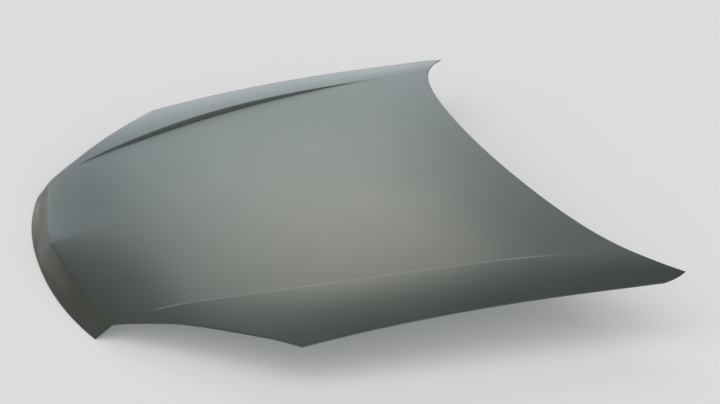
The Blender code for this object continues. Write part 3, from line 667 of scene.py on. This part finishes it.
CHANNEL = rounded(channel_corners(), CHANNEL_RADIUS)
WINDOW_CORNERS, FRONT_ROW, REAR_ROW = window_corners()
WINDOWS = [rounded(corners, WINDOW_RADIUS) for corners in WINDOW_CORNERS]
HINGE_OUT = HALF_WIDTH - HINGE_TO_SIDE
HINGE_BACK = float(rear_back(HINGE_OUT)) - HINGE_TO_REAR
PADS = [((side * HINGE_OUT, HINGE_BACK), HINGE_PAD) for side in (1, -1)] + [((0.0, LATCH_BACK), LATCH_PAD)]
BOLTS = [(side * HINGE_OUT, HINGE_BACK + end * HINGE_BOLT_PITCH / 2) for side in (-1, 1) for end in (-1, 1)]
print("windows:", len(WINDOWS), "pads:", len(PADS))

# %% [markdown]
# A flat sheet drums, so the press also puts beads in it: shallow, round-ended ribs along each beam, and a
# raised collar round each drain hole. They are small changes of the same depth.

# %% Beads and holes
BEAD_HALF_WIDTH = 0.010
BEAD_DEPTH = 0.0042
COLLAR_WIDTH = 0.007
COLLAR_DEPTH = 0.0022
DRAIN_HOLE_RADIUS = 0.009
STAY_ROD_HOLE_RADIUS = 0.008
SIDE_BEAM_MIDDLE = 0.076
STAY_ROD_HOLE_OUT = 0.395
FRONT_DRAIN = (0.255, 0.175)
SIDE_DRAIN_TO_EDGE = 0.071
REAR_DRAIN_OUT = 0.330
BEAD_STEEPNESS = 1.4
CIRCLE_SIDES = 28


def bead_lines():
    """The middle line of each bead, as two ends in plan, on both sides of the centre line."""
    cross = (FRONT_ROW[1] + REAR_ROW[0]) / 2
    rear_middle = REAR_ROW[1] + REAR_BEAM / 2
    beads = [
        # on the cross beam, then on the rear beam
        [(0.060, cross), (0.340, cross)],
        [(0.445, cross), (0.560, cross)],
        [(0.030, rear_middle - 0.008), (0.275, rear_middle + 0.006)],
        [(0.385, rear_middle + 0.018), (0.510, rear_middle + 0.040)],
        # along the sides
        [(SHOULDER_HALF_WIDTH - SIDE_BEAM_MIDDLE, 0.455), (side_out(0.70) - SIDE_BEAM_MIDDLE, 0.70)],
        [(side_out(0.83) - SIDE_BEAM_MIDDLE, 0.83), (side_out(0.95) - SIDE_BEAM_MIDDLE, 0.95)],
        # before the front windows and beside the headlamp cut
        [(0.105, 0.196), (0.205, 0.212)],
        [(0.300, 0.196), (0.372, 0.222)],
        [(0.460, 0.262), (0.585, 0.392)],
        # on the beams beside the centre windows
        [(0.190, 0.300), (0.207, 0.455)],
        [(0.262, 0.650), (0.279, 0.880)],
        # beside the latch pad
        [(0.105, 0.110), (0.290, 0.125)],
    ]
    return [np.array(line) * (side, 1) for line in beads for side in (-1, 1)]


def round_holes():
    cross = (FRONT_ROW[1] + REAR_ROW[0]) / 2
    middle = (REAR_ROW[0] + REAR_ROW[1]) / 2
    side_drain = (edge_out(middle) - SIDE_DRAIN_TO_EDGE, middle)
    drains = [FRONT_DRAIN, side_drain, (REAR_DRAIN_OUT, REAR_ROW[1] + REAR_BEAM / 2)]
    holes = [((STAY_ROD_HOLE_OUT, cross), STAY_ROD_HOLE_RADIUS)]
    holes += [((side * out, back), DRAIN_HOLE_RADIUS) for out, back in drains for side in (-1, 1)]
    return holes


def circle(centre, radius):
    angles = angles_round(CIRCLE_SIDES)
    return np.column_stack([centre[0] + radius * np.cos(angles), centre[1] + radius * np.sin(angles)])


BEADS = bead_lines()
HOLES = round_holes()
print("beads:", len(BEADS), "holes:", len(HOLES))

# %% [markdown]
# Now the depth can be written. The channel and each window ask for a depth of their own, and the sheet
# lies at the least of them, as a sheet pressed over several blocks would. The pads are flat, so there the
# height is mixed over to one level.

# %% The inner frame's height
def frame_depth(plan):
    """How far the frame lies below the skin's underside: the least of the depths asked for."""
    into = -distance_beyond(plan, CHANNEL)
    wall = eased((into - CHANNEL_START) / CHANNEL_WALL)
    near_edge = eased((into - HEM_WIDTH) / HEM_TO_SHOULDER)
    depth = SHOULDER_DEPTH * near_edge + (CHANNEL_DEPTH - SHOULDER_DEPTH) * wall
    for window in WINDOWS:
        beyond = distance_beyond(plan, window)
        rise = eased((beyond - WINDOW_FLANGE) / WINDOW_WALL)
        depth = np.minimum(depth, between(MASTIC_GAP, CHANNEL_DEPTH, rise))
    for start, end in BEADS:
        off_line = segment_distance(plan, start, end) / BEAD_HALF_WIDTH
        depth = depth - BEAD_DEPTH * eased(BEAD_STEEPNESS * (1 - off_line))
    for centre, radius in HOLES:
        past_rim = np.linalg.norm(plan - centre, axis=1) - radius
        depth = depth - COLLAR_DEPTH * eased(1 - past_rim / COLLAR_WIDTH)
    return depth, wall


def pad_level(centre):
    return float(plain_height(np.array(centre[0]), np.array(centre[1]))) - SKIN_THICKNESS - CHANNEL_DEPTH


def frame_face(plan):
    """The frame's upper face: the skin's underside less the depth, and level on the pads."""
    depth, wall = frame_depth(plan)
    stepped, normals = raised(skin_height, plan)
    plain, plain_normals = raised(plain_height, plan)
    face = stepped - normals * (SKIN_THICKNESS + GAP)
    away = plain - plain_normals * (SKIN_THICKNESS + GAP)
    far = np.maximum(wall, np.minimum.reduce([distance_beyond(plan, w) for w in WINDOWS]) < WINDOW_FLANGE)
    face = between(face, away, far[:, None])
    height = face[:, 2] - depth
    for centre, size in PADS:
        beyond = np.clip(distance_beyond(plan, pad_loop(centre, size)), 0, None)
        height = between(height, pad_level(centre), eased(1 - beyond / PAD_BLEND))
    return np.column_stack([face[:, :2], height])


# %% [markdown]
# The frame has windows and holes, so a plain grid doesn't fit it. Its places are lines that follow every
# wall, with loose points between them, and a triangulation joins them with every line kept as an edge.
# Triangles outside the frame or inside a hole are dropped.

# %% Triangles between lines
MEETING = 1e-7


def triangulated(loops, loose):
    """All points, and the triangles through them that keep every side of the loops as an edge."""
    points = np.concatenate([*loops, loose])
    edges = []
    first = 0
    for loop in loops:
        numbers = first + np.arange(len(loop))
        edges += np.column_stack([numbers, np.roll(numbers, -1)]).tolist()
        first += len(loop)
    found = delaunay_2d_cdt([Vector(point) for point in points.tolist()], edges, [], 0, MEETING, True)
    if len(found[0]) != len(points):
        raise ValueError("two lines of the sheet cross or meet")
    order = np.array([origin[0] for origin in found[3]])
    triangles = order[np.array(found[2])]
    corners = points[triangles]
    area = np.cross(corners[:, 1] - corners[:, 0], corners[:, 2] - corners[:, 0])
    triangles[area < 0] = triangles[area < 0][:, ::-1]
    return points, triangles


def area_normals(points, triangles):
    """Each point's normal: the sum of its triangles' normals, weighted by their areas."""
    corners = points[triangles]
    faces = np.cross(corners[:, 1] - corners[:, 0], corners[:, 2] - corners[:, 0])
    normals = np.zeros_like(points)
    for corner in range(3):
        np.add.at(normals, triangles[:, corner], faces)
    return unit(normals)


# %% The inner frame
LINE_SPACING = 0.0085
LOOSE_SPACING = 0.011
WALL_STOPS = (0.0, 0.22, 0.5, 0.78, 1.0)


def inset_lines(corners, radius, insets):
    """A line at each distance inside some corners, with its arcs drawn in. A negative one lies outside."""
    ways = mitres(corners)
    return [respaced(rounded(corners + ways * inset, radius - inset), LINE_SPACING) for inset in insets]


def loose_points():
    """A staggered grid of places, kept where they are clear of the lines."""
    rows_back = np.arange(0, LENGTH, LOOSE_SPACING * math.sqrt(3) / 2)
    reach = math.ceil(HALF_WIDTH / LOOSE_SPACING)
    out, back = np.meshgrid(np.arange(-reach, reach + 1) * LOOSE_SPACING, rows_back)
    out = out + (np.arange(len(rows_back)) % 2)[:, None] * LOOSE_SPACING / 2
    points = np.column_stack([out.ravel(), back.ravel()])
    clearance = LOOSE_SPACING / 2
    points = points[-distance_beyond(points, CHANNEL) > CHANNEL_START + CHANNEL_WALL + clearance]
    for window in WINDOWS:
        points = points[distance_beyond(points, window) > WINDOW_FLANGE + WINDOW_WALL + clearance]
    for centre, size in PADS:
        points = points[np.abs(distance_beyond(points, pad_loop(centre, size))) > clearance]
    collars = [(centre, radius + COLLAR_WIDTH) for centre, radius in HOLES]
    for centre, radius in collars + [(centre, BOLT_HOLE_RADIUS) for centre in BOLTS]:
        points = points[np.linalg.norm(points - centre, axis=1) > radius + clearance]
    return points


def inner_frame():
    """The whole frame: its face, the same face moved down by the thickness, and strips round each cut."""
    outer = respaced_edge(FRAME_EDGE)
    stops = np.array(WALL_STOPS)
    channel = inset_lines(channel_corners(), CHANNEL_RADIUS, CHANNEL_START + CHANNEL_WALL * stops)
    loops = [outer, respaced_edge(HEM_WIDTH + GAP), *channel]
    cut = [0]
    for corners in WINDOW_CORNERS:
        cut.append(len(loops))
        loops += inset_lines(corners, WINDOW_RADIUS, [0, *(-WINDOW_FLANGE - WINDOW_WALL * stops)])
    loops += [respaced(pad_loop(centre, size), LINE_SPACING) for centre, size in PADS]
    for centre, radius in HOLES:
        cut.append(len(loops))
        loops += [circle(centre, radius + COLLAR_WIDTH * share) for share in (0, 0.5, 1)]
    for centre in BOLTS:
        cut.append(len(loops))
        loops.append(circle(centre, BOLT_HOLE_RADIUS))
    plan, triangles = triangulated(loops, loose_points())
    middles = plan[triangles].mean(axis=1)
    kept = inside(middles, outer)
    for number in cut[1:]:
        kept &= ~inside(middles, loops[number])
    triangles = triangles[kept]
    top = frame_face(plan)
    under = top - area_normals(top, triangles) * FRAME_THICKNESS
    faces = triangles.tolist() + (triangles[:, ::-1] + len(top)).tolist()
    starts = np.concatenate([[0], np.cumsum([len(loop) for loop in loops])])
    for number in cut:
        ring = starts[number] + np.arange(len(loops[number]))
        faces += ring_strip(ring, ring + len(top)).tolist()
    return sheet_piece("inner_frame_pressing", np.concatenate([top, under]), faces)


def respaced_edge(inset):
    """Every other point of the skin's outline, moved inwards, so that its corners stay."""
    return inset_plan(OUTLINE, inset)[::2]


pressing = inner_frame()
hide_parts("inner_frame")
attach(pressing, "root")

# %% [markdown]
# ## The striker
#
# The latch grips a loop of thick wire under the nose. The wire is a circle carried along a U-shaped path,
# and it stands in a small plate that is welded to the frame, with a bead of weld round each leg.

# %% The striker's wire
LATCH_PLATE_TOP = pad_level((0.0, LATCH_BACK)) - FRAME_THICKNESS - GAP
STRIKER_PLATE_THICKNESS = 0.002
STRIKER_WIRE = 0.008
STRIKER_WIDTH = 0.044
STRIKER_DROP = 0.034
STRIKER_BEND = 0.010
WIRE_SIDES = 24
BEND_POINTS = 12
STRAIGHT_POINTS = 5


def wire_path(top):
    """The U: straight legs down, two quarter circles, and the straight run between them."""
    reach = STRIKER_WIDTH / 2 - STRIKER_WIRE / 2
    low = top - STRIKER_DROP + STRIKER_WIRE / 2
    angle = np.linspace(0, math.pi / 2, BEND_POINTS)
    corner = reach - STRIKER_BEND
    bend = np.column_stack([-corner - STRIKER_BEND * np.cos(angle), low + STRIKER_BEND * (1 - np.sin(angle))])
    down = np.linspace(top, low + STRIKER_BEND, STRAIGHT_POINTS)[:-1]
    along = np.linspace(-corner, 0, STRAIGHT_POINTS)[1:]
    leg = np.column_stack([np.full(len(down), -reach), down])
    run = np.column_stack([along, np.full(len(along), low)])
    half = np.concatenate([leg, bend, run])
    return np.concatenate([half, half[-2::-1] * (-1, 1)])


def striker_wire(top):
    """Rings of points round the path: each is its middle + r (cos a times the normal in the U's plane
    + sin a times the way back)."""
    path = wire_path(top)
    along = unit(np.gradient(path, axis=0))
    normal = np.column_stack([-along[:, 1], along[:, 0]])
    angle = angles_round(WIRE_SIDES)
    in_plane = np.cos(angle)[None, :, None] * normal[:, None, :] * STRIKER_WIRE / 2
    out = path[:, None, 0] + in_plane[:, :, 0]
    height = path[:, None, 1] + in_plane[:, :, 1]
    back = np.broadcast_to(LATCH_BACK + np.sin(angle) * STRIKER_WIRE / 2, out.shape)
    points = np.stack([out, back, height], -1).reshape(-1, 3)
    numbers = np.arange(len(points)).reshape(len(path), -1)
    faces = []
    for first, second in zip(numbers[:-1], numbers[1:]):
        faces += ring_strip(first, second).tolist()
    faces += [numbers[0].tolist(), numbers[-1][::-1].tolist()]
    return sheet_piece("striker_wire", points, faces)


WELD_RADIUS = 0.0016
WELD_LUMPS = ((0.22, 9, 0), (0.1, 4, 1))
WELD_BITE = 0.0002
WELD_WIDENING = 0.1
WELD_DROP = 1.6
WELD_SEGMENTS = 40
WELD_POINTS = 7


def weld_bead(name, out, top):
    """A lumpy ring round a leg: a quarter-round section whose radius swells along the ring.

    The radius is its middle value times one plus two waves, each (share, waves round the ring, phase).
    """
    around = angles_round(WELD_SEGMENTS)
    section = np.linspace(0, math.pi, WELD_POINTS) / 2
    waves = sum(share * np.sin(around * count + phase) for share, count, phase in WELD_LUMPS)
    swell = (WELD_RADIUS * (1 + waves))[:, None]
    radius = STRIKER_WIRE / 2 - WELD_BITE + swell * (WELD_WIDENING + np.cos(section))
    height = top - swell * np.sin(section) * WELD_DROP
    x = out + radius * np.cos(around)[:, None]
    y = LATCH_BACK + radius * np.sin(around)[:, None]
    points = np.stack([x, y, np.broadcast_to(height, x.shape)], -1).reshape(-1, 3)
    numbers = np.arange(len(points)).reshape(x.shape)
    faces = []
    for column in range(len(section)):
        faces += ring_strip(numbers[:, column], numbers[:, (column + 1) % len(section)]).tolist()
    return sheet_piece(name, points, faces)


PLATE_UNDER = LATCH_PLATE_TOP - STRIKER_PLATE_THICKNESS
wire = striker_wire(PLATE_UNDER - GAP)
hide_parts("striker_loop")
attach(wire, "root")
leg_out = STRIKER_WIDTH / 2 - STRIKER_WIRE / 2
legs = (("left", leg_out), ("right", -leg_out))
welds = [weld_bead(f"weld_bead_{side}", out, PLATE_UNDER) for side, out in legs]
for weld in welds:
    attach(weld, "root")

# %% [markdown]
# ## The finishes
#
# The primer is baked on in a dip tank. It is satin, dark, and evenly rough, and at a low angle it mirrors
# the room far more than it shows its own colour. That is why most of what one sees on it is the soft
# reflection of the light. Up close it has a fine pebbled surface, faint clouds where it dried unevenly,
# and rub marks from stacking. Each of these is a node group, so both primed surfaces can share it.

# %% Helpers for nodes
def feed(tree, made, inputs):
    """Give a node its inputs. Each is a value, a colour without its alpha, or another node's output."""
    for key, value in inputs.items():
        if isinstance(value, bpy.types.NodeSocket):
            tree.links.new(value, made.inputs[key])
        elif made.inputs[key].type == "RGBA":
            made.inputs[key].default_value = (*value, 1)
        else:
            made.inputs[key].default_value = value
    return made


def node(tree, kind, inputs=None, **settings):
    """A node with its settings and its inputs."""
    made = tree.nodes.new(kind)
    for key, value in settings.items():
        setattr(made, key, value)
    return feed(tree, made, inputs or {})


def maths(tree, operation, *values):
    """The result of a Math node, whose inputs are values or other nodes' outputs."""
    return node(tree, "ShaderNodeMath", dict(enumerate(values)), operation=operation).outputs[0]


def mapped(tree, value, start, end, low=0.0, high=1.0, kind="SMOOTHSTEP"):
    """A value moved from one range to another, by a smooth step or in proportion."""
    inputs = {"Value": value, "From Min": start, "From Max": end, "To Min": low, "To Max": high}
    return node(tree, "ShaderNodeMapRange", inputs, interpolation_type=kind).outputs["Result"]


def mixed(tree, share, first, second):
    """A colour that lies between two others."""
    return node(tree, "ShaderNodeMix", {"Factor": share, 6: first, 7: second}, data_type="RGBA").outputs[2]


def noise(tree, scale, place=None, **inputs):
    """A noise texture's value, over object coordinates unless other places are given."""
    place = place or node(tree, "ShaderNodeTexCoord").outputs["Object"]
    return node(tree, "ShaderNodeTexNoise", {"Vector": place, "Scale": scale, **inputs}).outputs["Fac"]


def new_group(name, inputs, outputs):
    """A shader node group with named sockets: inputs are (name, kind, value), outputs (name, kind)."""
    group = bpy.data.node_groups.new(name, "ShaderNodeTree")
    for label, kind, value in inputs:
        group.interface.new_socket(label, in_out="INPUT", socket_type=kind).default_value = value
    for label, kind in outputs:
        group.interface.new_socket(label, in_out="OUTPUT", socket_type=kind)
    return group, group.nodes.new("NodeGroupInput").outputs, group.nodes.new("NodeGroupOutput")


# %% Group: the fine pebbled surface of dipped primer
PEBBLES_PER_METRE = 260.0
GRIT_FINER = 5.0
GRIT_SHARE = 0.25


def pebbled_primer():
    """Two layers of noise, pebbles and a fine grit, added and turned into a normal by a Bump node."""
    group, given, result = new_group(
        "pebbled_primer",
        [("Pebbles per metre", "NodeSocketFloat", PEBBLES_PER_METRE), ("Depth", "NodeSocketFloat", 0.00004)],
        [("Normal", "NodeSocketVector"), ("Height", "NodeSocketFloat")],
    )
    pebbles = noise(group, given["Pebbles per metre"], Detail=2.0, Roughness=0.4)
    grit = noise(group, maths(group, "MULTIPLY", given["Pebbles per metre"], GRIT_FINER), Detail=1.0)
    height = maths(group, "ADD", pebbles, maths(group, "MULTIPLY", grit, GRIT_SHARE))
    bump = node(group, "ShaderNodeBump", {"Strength": 1.0, "Height": height, "Distance": given["Depth"]})
    feed(group, result, {"Normal": bump.outputs["Normal"], "Height": height})
    return group


# %% Group: faint clouds and rub marks
CLOUDS_SCALE = 3.2
PATCHES_SCALE = 5.5
PATCHES_RANGE = (0.56, 0.72)
RUBS_STRETCH = (12.0, 150.0, 40.0)
RUBS_TURN = (0, 0, 0.6)
RUBS_RANGE = (0.55, 0.75)


def clouds_and_rubs():
    """Clouds: slow noise. Rubs: fine noise stretched along one way, let through only in a few patches."""
    group, given, result = new_group(
        "clouds_and_rubs",
        [("Rub amount", "NodeSocketFloat", 0.5)],
        [("Clouds", "NodeSocketFloat"), ("Rubs", "NodeSocketFloat")],
    )
    place = node(group, "ShaderNodeTexCoord").outputs["Object"]
    stretch = {"Vector": place, "Rotation": RUBS_TURN, "Scale": RUBS_STRETCH}
    stretched = node(group, "ShaderNodeMapping", stretch).outputs["Vector"]
    clouds = noise(group, CLOUDS_SCALE, place, Detail=5.0, Roughness=0.55)
    few = mapped(group, noise(group, PATCHES_SCALE, place, Detail=3.0), *PATCHES_RANGE)
    thin = mapped(group, noise(group, 1.0, stretched, Detail=4.0, Roughness=0.7), *RUBS_RANGE)
    rubs = maths(group, "MULTIPLY", maths(group, "MULTIPLY", few, thin), given["Rub amount"])
    feed(group, result, {"Clouds": clouds, "Rubs": rubs})
    return group


PEBBLES = pebbled_primer()
CLOUDS = clouds_and_rubs()


# %% The primer
CLOUD_RANGE = (0.3, 0.7)
RUBBED_LIGHTER = 1.5
RUBBED_ROUGHNESS_CHANGE = -0.08


def new_material(name, rub_amount, depth, pebbles_per_metre=PEBBLES_PER_METRE):
    """A material's tree and shader, with the outputs of its clouds and rubs and of its pebbled surface."""
    material = bpy.data.materials.new(name)
    material.use_nodes = True
    tree = material.node_tree
    marks = node(tree, "ShaderNodeGroup", {"Rub amount": rub_amount}, node_tree=CLOUDS)
    sizes = {"Pebbles per metre": pebbles_per_metre, "Depth": depth}
    surface = node(tree, "ShaderNodeGroup", sizes, node_tree=PEBBLES)
    return material, tree, tree.nodes["Principled BSDF"], marks.outputs, surface.outputs


def primer(name, dark, light, smooth, rough, rub_amount, depth):
    """Primer between two colours and two roughnesses, both moved by the clouds and then by the rubs."""
    material, tree, shader, marks, surface = new_material(name, rub_amount, depth)
    tone = mixed(tree, mapped(tree, marks["Clouds"], *CLOUD_RANGE), dark, light)
    worn = mixed(tree, marks["Rubs"], tone, [min(1, part * RUBBED_LIGHTER) for part in light])
    clouded = mapped(tree, marks["Clouds"], *CLOUD_RANGE, smooth, rough, "LINEAR")
    polished = maths(tree, "MULTIPLY_ADD", marks["Rubs"], RUBBED_ROUGHNESS_CHANGE, clouded)
    feed(tree, shader, {"Base Color": worn, "Roughness": polished, "IOR": 1.5, "Normal": surface["Normal"]})
    return material


# %% Zinc plating, weld and mastic
CRYSTAL_RANGE = (0.4, 0.9)
CRYSTALS_ROUGHER = 0.2
CLOUDS_DARKER = 0.72
MASTIC_DARK = (0.018, 0.018, 0.017)
MASTIC_LIGHT = (0.035, 0.034, 0.032)


def zinc_plating(name, colour, roughness):
    """Plated steel: grainy crystals change its roughness, and a slow noise shifts its tint."""
    grains = {"rub_amount": 0.8, "depth": 0.00003, "pebbles_per_metre": 900.0}
    material, tree, shader, marks, surface = new_material(name, **grains)
    tone = mixed(tree, marks["Clouds"], colour, [part * CLOUDS_DARKER for part in colour])
    rougher = roughness + CRYSTALS_ROUGHER
    rough = mapped(tree, surface["Height"], *CRYSTAL_RANGE, roughness, rougher, "LINEAR")
    feed(tree, shader, {"Base Color": tone, "Metallic": 1.0, "Roughness": rough, "Normal": surface["Normal"]})
    return material


def cured_mastic():
    """Dull black rubbery filler with a lumpy skin."""
    lumps = {"rub_amount": 0.0, "depth": 0.0003, "pebbles_per_metre": 420.0}
    material, tree, shader, marks, surface = new_material("cured_mastic", **lumps)
    tone = mixed(tree, marks["Clouds"], MASTIC_DARK, MASTIC_LIGHT)
    feed(tree, shader, {"Base Color": tone, "Roughness": 0.75, "Normal": surface["Normal"]})
    return material


# %% Dress every piece
def dress(piece, material):
    """A piece keeps its shape and takes a finish."""
    piece.data.materials.clear()
    piece.data.materials.append(material)


skin_primer = primer("primer_satin", (0.053, 0.058, 0.054), (0.063, 0.069, 0.064),
                     smooth=0.30, rough=0.34, rub_amount=0.25, depth=0.00003)
frame_primer = primer("primer_inside", (0.060, 0.066, 0.058), (0.082, 0.088, 0.078),
                      smooth=0.42, rough=0.50, rub_amount=0.5, depth=0.00006)
plating = zinc_plating("zinc_plating", (0.60, 0.60, 0.57), roughness=0.30)
weld_metal = zinc_plating("weld_metal", (0.34, 0.33, 0.31), roughness=0.42)
mastic = cured_mastic()
for piece, finish in ((skin, skin_primer), (pressing, frame_primer), (wire, plating)):
    dress(piece, finish)
for weld in welds:
    dress(weld, weld_metal)
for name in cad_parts:
    if name.startswith("mastic_"):
        dress(bpy.data.objects[name], mastic)
    elif name.startswith("hinge_nut_") or name == "striker_plate":
        dress(bpy.data.objects[name], plating)
    elif "reinforcement" in name:
        dress(bpy.data.objects[name], frame_primer)

# %% [markdown]
# ## The studio
#
# A satin dark panel shows the room, so the room matters more than the lamps. The floor is pale and plain.
# One large soft light hangs low on the far side, where the crown mirrors it into the camera, and the rest
# of the room is dim and even. The near side of the panel tilts away and mirrors the dim ceiling instead.

# %% The floor
FLOOR_REACH = 30.0
FLOOR_PAINT = (0.86, 0.78, 0.75)
FLOOR_LIFT = (0.172, 0.183, 0.185)


def pale_floor():
    """Matt paint that keeps the object's shadow. The camera sees it a little lighter than it lights things,
    and from below it isn't there, so that the underside can be looked at."""
    material = bpy.data.materials.new("floor_paint")
    material.use_nodes = True
    tree = material.node_tree
    shader = tree.nodes["Principled BSDF"]
    feed(tree, shader, {"Base Color": FLOOR_PAINT, "Roughness": 0.9, "Specular IOR Level": 0.0})
    by_camera = node(tree, "ShaderNodeLightPath").outputs["Is Camera Ray"]
    backfacing = node(tree, "ShaderNodeNewGeometry").outputs["Backfacing"]
    lift = node(tree, "ShaderNodeEmission", {"Color": FLOOR_LIFT, "Strength": 1.0})
    lighter = node(tree, "ShaderNodeAddShader", {0: shader.outputs[0], 1: lift.outputs[0]})
    seen = node(tree, "ShaderNodeMixShader", {0: by_camera, 1: shader.outputs[0], 2: lighter.outputs[0]})
    clear = node(tree, "ShaderNodeBsdfTransparent")
    from_below = maths(tree, "MULTIPLY", by_camera, backfacing)
    below = node(tree, "ShaderNodeMixShader", {0: from_below, 1: seen.outputs[0], 2: clear.outputs[0]})
    feed(tree, tree.nodes["Material Output"], {"Surface": below.outputs[0]})
    return material


floor_mesh = bpy.data.meshes.new("studio_floor")
floor_corners = [(FLOOR_REACH * x, FLOOR_REACH * y, 0) for x, y in ((-1, -1), (1, -1), (1, 1), (-1, 1))]
floor_mesh.from_pydata(floor_corners, [], [(0, 1, 2, 3)])
floor = bpy.data.objects.new("studio_floor", floor_mesh)
bpy.context.scene.collection.objects.link(floor)
floor_mesh.materials.append(pale_floor())

# %% Group: a soft-edged rectangle of light, far away in one direction
PANEL_EDGE = 0.025


def along(tree, direction, axis):
    """How far a direction points along an axis: their dot product."""
    product = node(tree, "ShaderNodeVectorMath", {0: direction, 1: axis}, operation="DOT_PRODUCT")
    return product.outputs["Value"]


def soft_panel():
    """One inside the rectangle, nought outside: two smooth steps of the direction's across and up parts.

    The parts are the dot products of the direction with the panel's own axes, and a third one with the
    way to its middle leaves out the mirror image behind the viewer.
    """
    group, given, result = new_group(
        "soft_panel",
        [(label, "NodeSocketVector", (0, 0, 1)) for label in ("Direction", "Ahead", "Across", "Up")]
        + [("Half width", "NodeSocketFloat", 0.1), ("Half height", "NodeSocketFloat", 0.1)],
        [("Light", "NodeSocketFloat")],
    )
    light = maths(group, "GREATER_THAN", along(group, given["Direction"], given["Ahead"]), 0.0)
    for axis, half in (("Across", "Half width"), ("Up", "Half height")):
        part = maths(group, "ABSOLUTE", along(group, given["Direction"], given[axis]))
        inner = maths(group, "SUBTRACT", given[half], PANEL_EDGE)
        outer = maths(group, "ADD", given[half], PANEL_EDGE)
        light = maths(group, "MULTIPLY", light, mapped(group, part, inner, outer, 1.0, 0.0))
    feed(group, result, {"Light": light})
    return group


PANEL = soft_panel()

# %% The room's light
# A wide softbox, and a smaller one before it as its bright core.
PANELS = (
    (10.5, 33.0, (0.139, 0.208), (1.88, 2.30, 2.18)),
    (12.0, 33.5, (0.117, 0.113), (1.95, 1.32, 0.58)),
)
# The walls, low and high, on the far side and at the nose, and a fill behind the camera.
LEVELS = (
    ("low", "far", (2.40, 2.70, 2.62)),
    ("low", "nose", (0.75, 0.74, 0.25)),
    ("high", "far", (0.88, 1.00, 1.09)),
    ("high", "nose", (0.25, 0.23, 0.10)),
    ("behind", "all", (0.78, 0.85, 0.91)),
)
# Where each kind of light fades out, as the first and last value of its direction's part.
FADES = {
    "low": (0.0, 0.15),
    "high": (0.3, 0.7),
    "behind": (-0.6, 0.2),
    "before rear": (0.3, 0.6),
    "short of nose": (0.15, 0.6),
    "up to nose": (0.6, 0.95),
}
BACKDROP = (0.72, 0.72, 0.72)
REARWARDS = Vector((0.1736, 0.9848, 0.0))
BEHIND_CAMERA = Vector((0.80, -0.30, 0.52))


def panel_axes(azimuth, elevation):
    """Unit vectors ahead, across and up for a panel. Azimuth 0 is the far side, and grows rearwards."""
    turn, lift = math.radians(azimuth), math.radians(elevation)
    ahead = Vector((-math.cos(turn) * math.cos(lift), math.sin(turn) * math.cos(lift), math.sin(lift)))
    across = Vector((math.sin(turn), math.cos(turn), 0))
    return ahead, across, across.cross(ahead)


def wall_shapes(tree, direction):
    """The light's shapes, each one and then nought past its fade, and its share on each side."""
    up, behind = along(tree, direction, (0, 0, 1)), along(tree, direction, -BEHIND_CAMERA)
    rearwards, noseward = along(tree, direction, REARWARDS), along(tree, direction, -REARWARDS)
    ways = {"low": up, "high": up, "behind": behind, "before rear": rearwards,
            "short of nose": noseward, "up to nose": noseward}
    shapes = {name: mapped(tree, way, *FADES[name], 1.0, 0.0) for name, way in ways.items()}
    past_short = maths(tree, "SUBTRACT", 1.0, shapes["short of nose"])
    sides = {
        "far": maths(tree, "MULTIPLY", shapes["before rear"], shapes["short of nose"]),
        "nose": maths(tree, "MULTIPLY", past_short, shapes["up to nose"]),
        "all": 1.0,
    }
    return shapes, sides


def room_light():
    """A world whose brightness depends only on the direction: walls, a fill, and the softbox panels.

    The camera sees a plain backdrop in their place, in the floor's own tone.
    """
    world = bpy.data.worlds.new("studio_room")
    bpy.context.scene.world = world
    world.use_nodes = True
    tree = world.node_tree
    tree.nodes.clear()
    direction = node(tree, "ShaderNodeTexCoord").outputs["Generated"]
    shapes, sides = wall_shapes(tree, direction)
    lights = [(maths(tree, "MULTIPLY", shapes[shape], sides[side]), colour) for shape, side, colour in LEVELS]
    for azimuth, elevation, (half_width, half_height), colour in PANELS:
        ahead, across, up = panel_axes(azimuth, elevation)
        values = {"Direction": direction, "Ahead": ahead, "Across": across, "Up": up,
                  "Half width": half_width, "Half height": half_height}
        lights.append((node(tree, "ShaderNodeGroup", values, node_tree=PANEL).outputs["Light"], colour))
    total = (0.0, 0.0, 0.0)
    for value, colour in lights:
        added = {0: value, 1: colour, 2: total}
        total = node(tree, "ShaderNodeVectorMath", added, operation="MULTIPLY_ADD").outputs["Vector"]
    background = node(tree, "ShaderNodeBackground", {"Color": total, "Strength": 1.0})
    backdrop = node(tree, "ShaderNodeBackground", {"Color": BACKDROP, "Strength": 1.0})
    by_camera = node(tree, "ShaderNodeLightPath").outputs["Is Camera Ray"]
    seen = node(tree, "ShaderNodeMixShader", {0: by_camera, 1: background.outputs[0], 2: backdrop.outputs[0]})
    node(tree, "ShaderNodeOutputWorld", {"Surface": seen.outputs[0]})
    print("panels and walls of light:", len(lights))


room_light()

# %% [markdown]
# ## The camera
#
# The photograph looks down at the bonnet's left side from a little ahead of it. The camera stands there
# with a long lens, so the far side is hardly smaller than the near one.

# %% Set up the camera
CAMERA_PLACE = (3.7150, -1.0536, 1.6984)
CAMERA_AHEAD = (-0.87752, 0.28286, -0.38723)
CAMERA_RIGHT = (0.30679, 0.95178, 0.0)
LENS_MM = 90
SENSOR_MM = 36
CLIP_END = 100

lens = bpy.data.cameras.new("studio_camera")
lens.lens = LENS_MM
lens.sensor_width = SENSOR_MM
lens.clip_end = CLIP_END
camera = bpy.data.objects.new("studio_camera", lens)
ahead = Vector(CAMERA_AHEAD).normalized()
right = Vector(CAMERA_RIGHT).normalized()
up = right.cross(ahead)
camera.matrix_world = Matrix.Translation(CAMERA_PLACE) @ Matrix((right, up, -ahead)).transposed().to_4x4()
bpy.context.scene.collection.objects.link(camera)
bpy.context.scene.camera = camera
bpy.context.scene.view_settings.view_transform = "Standard"
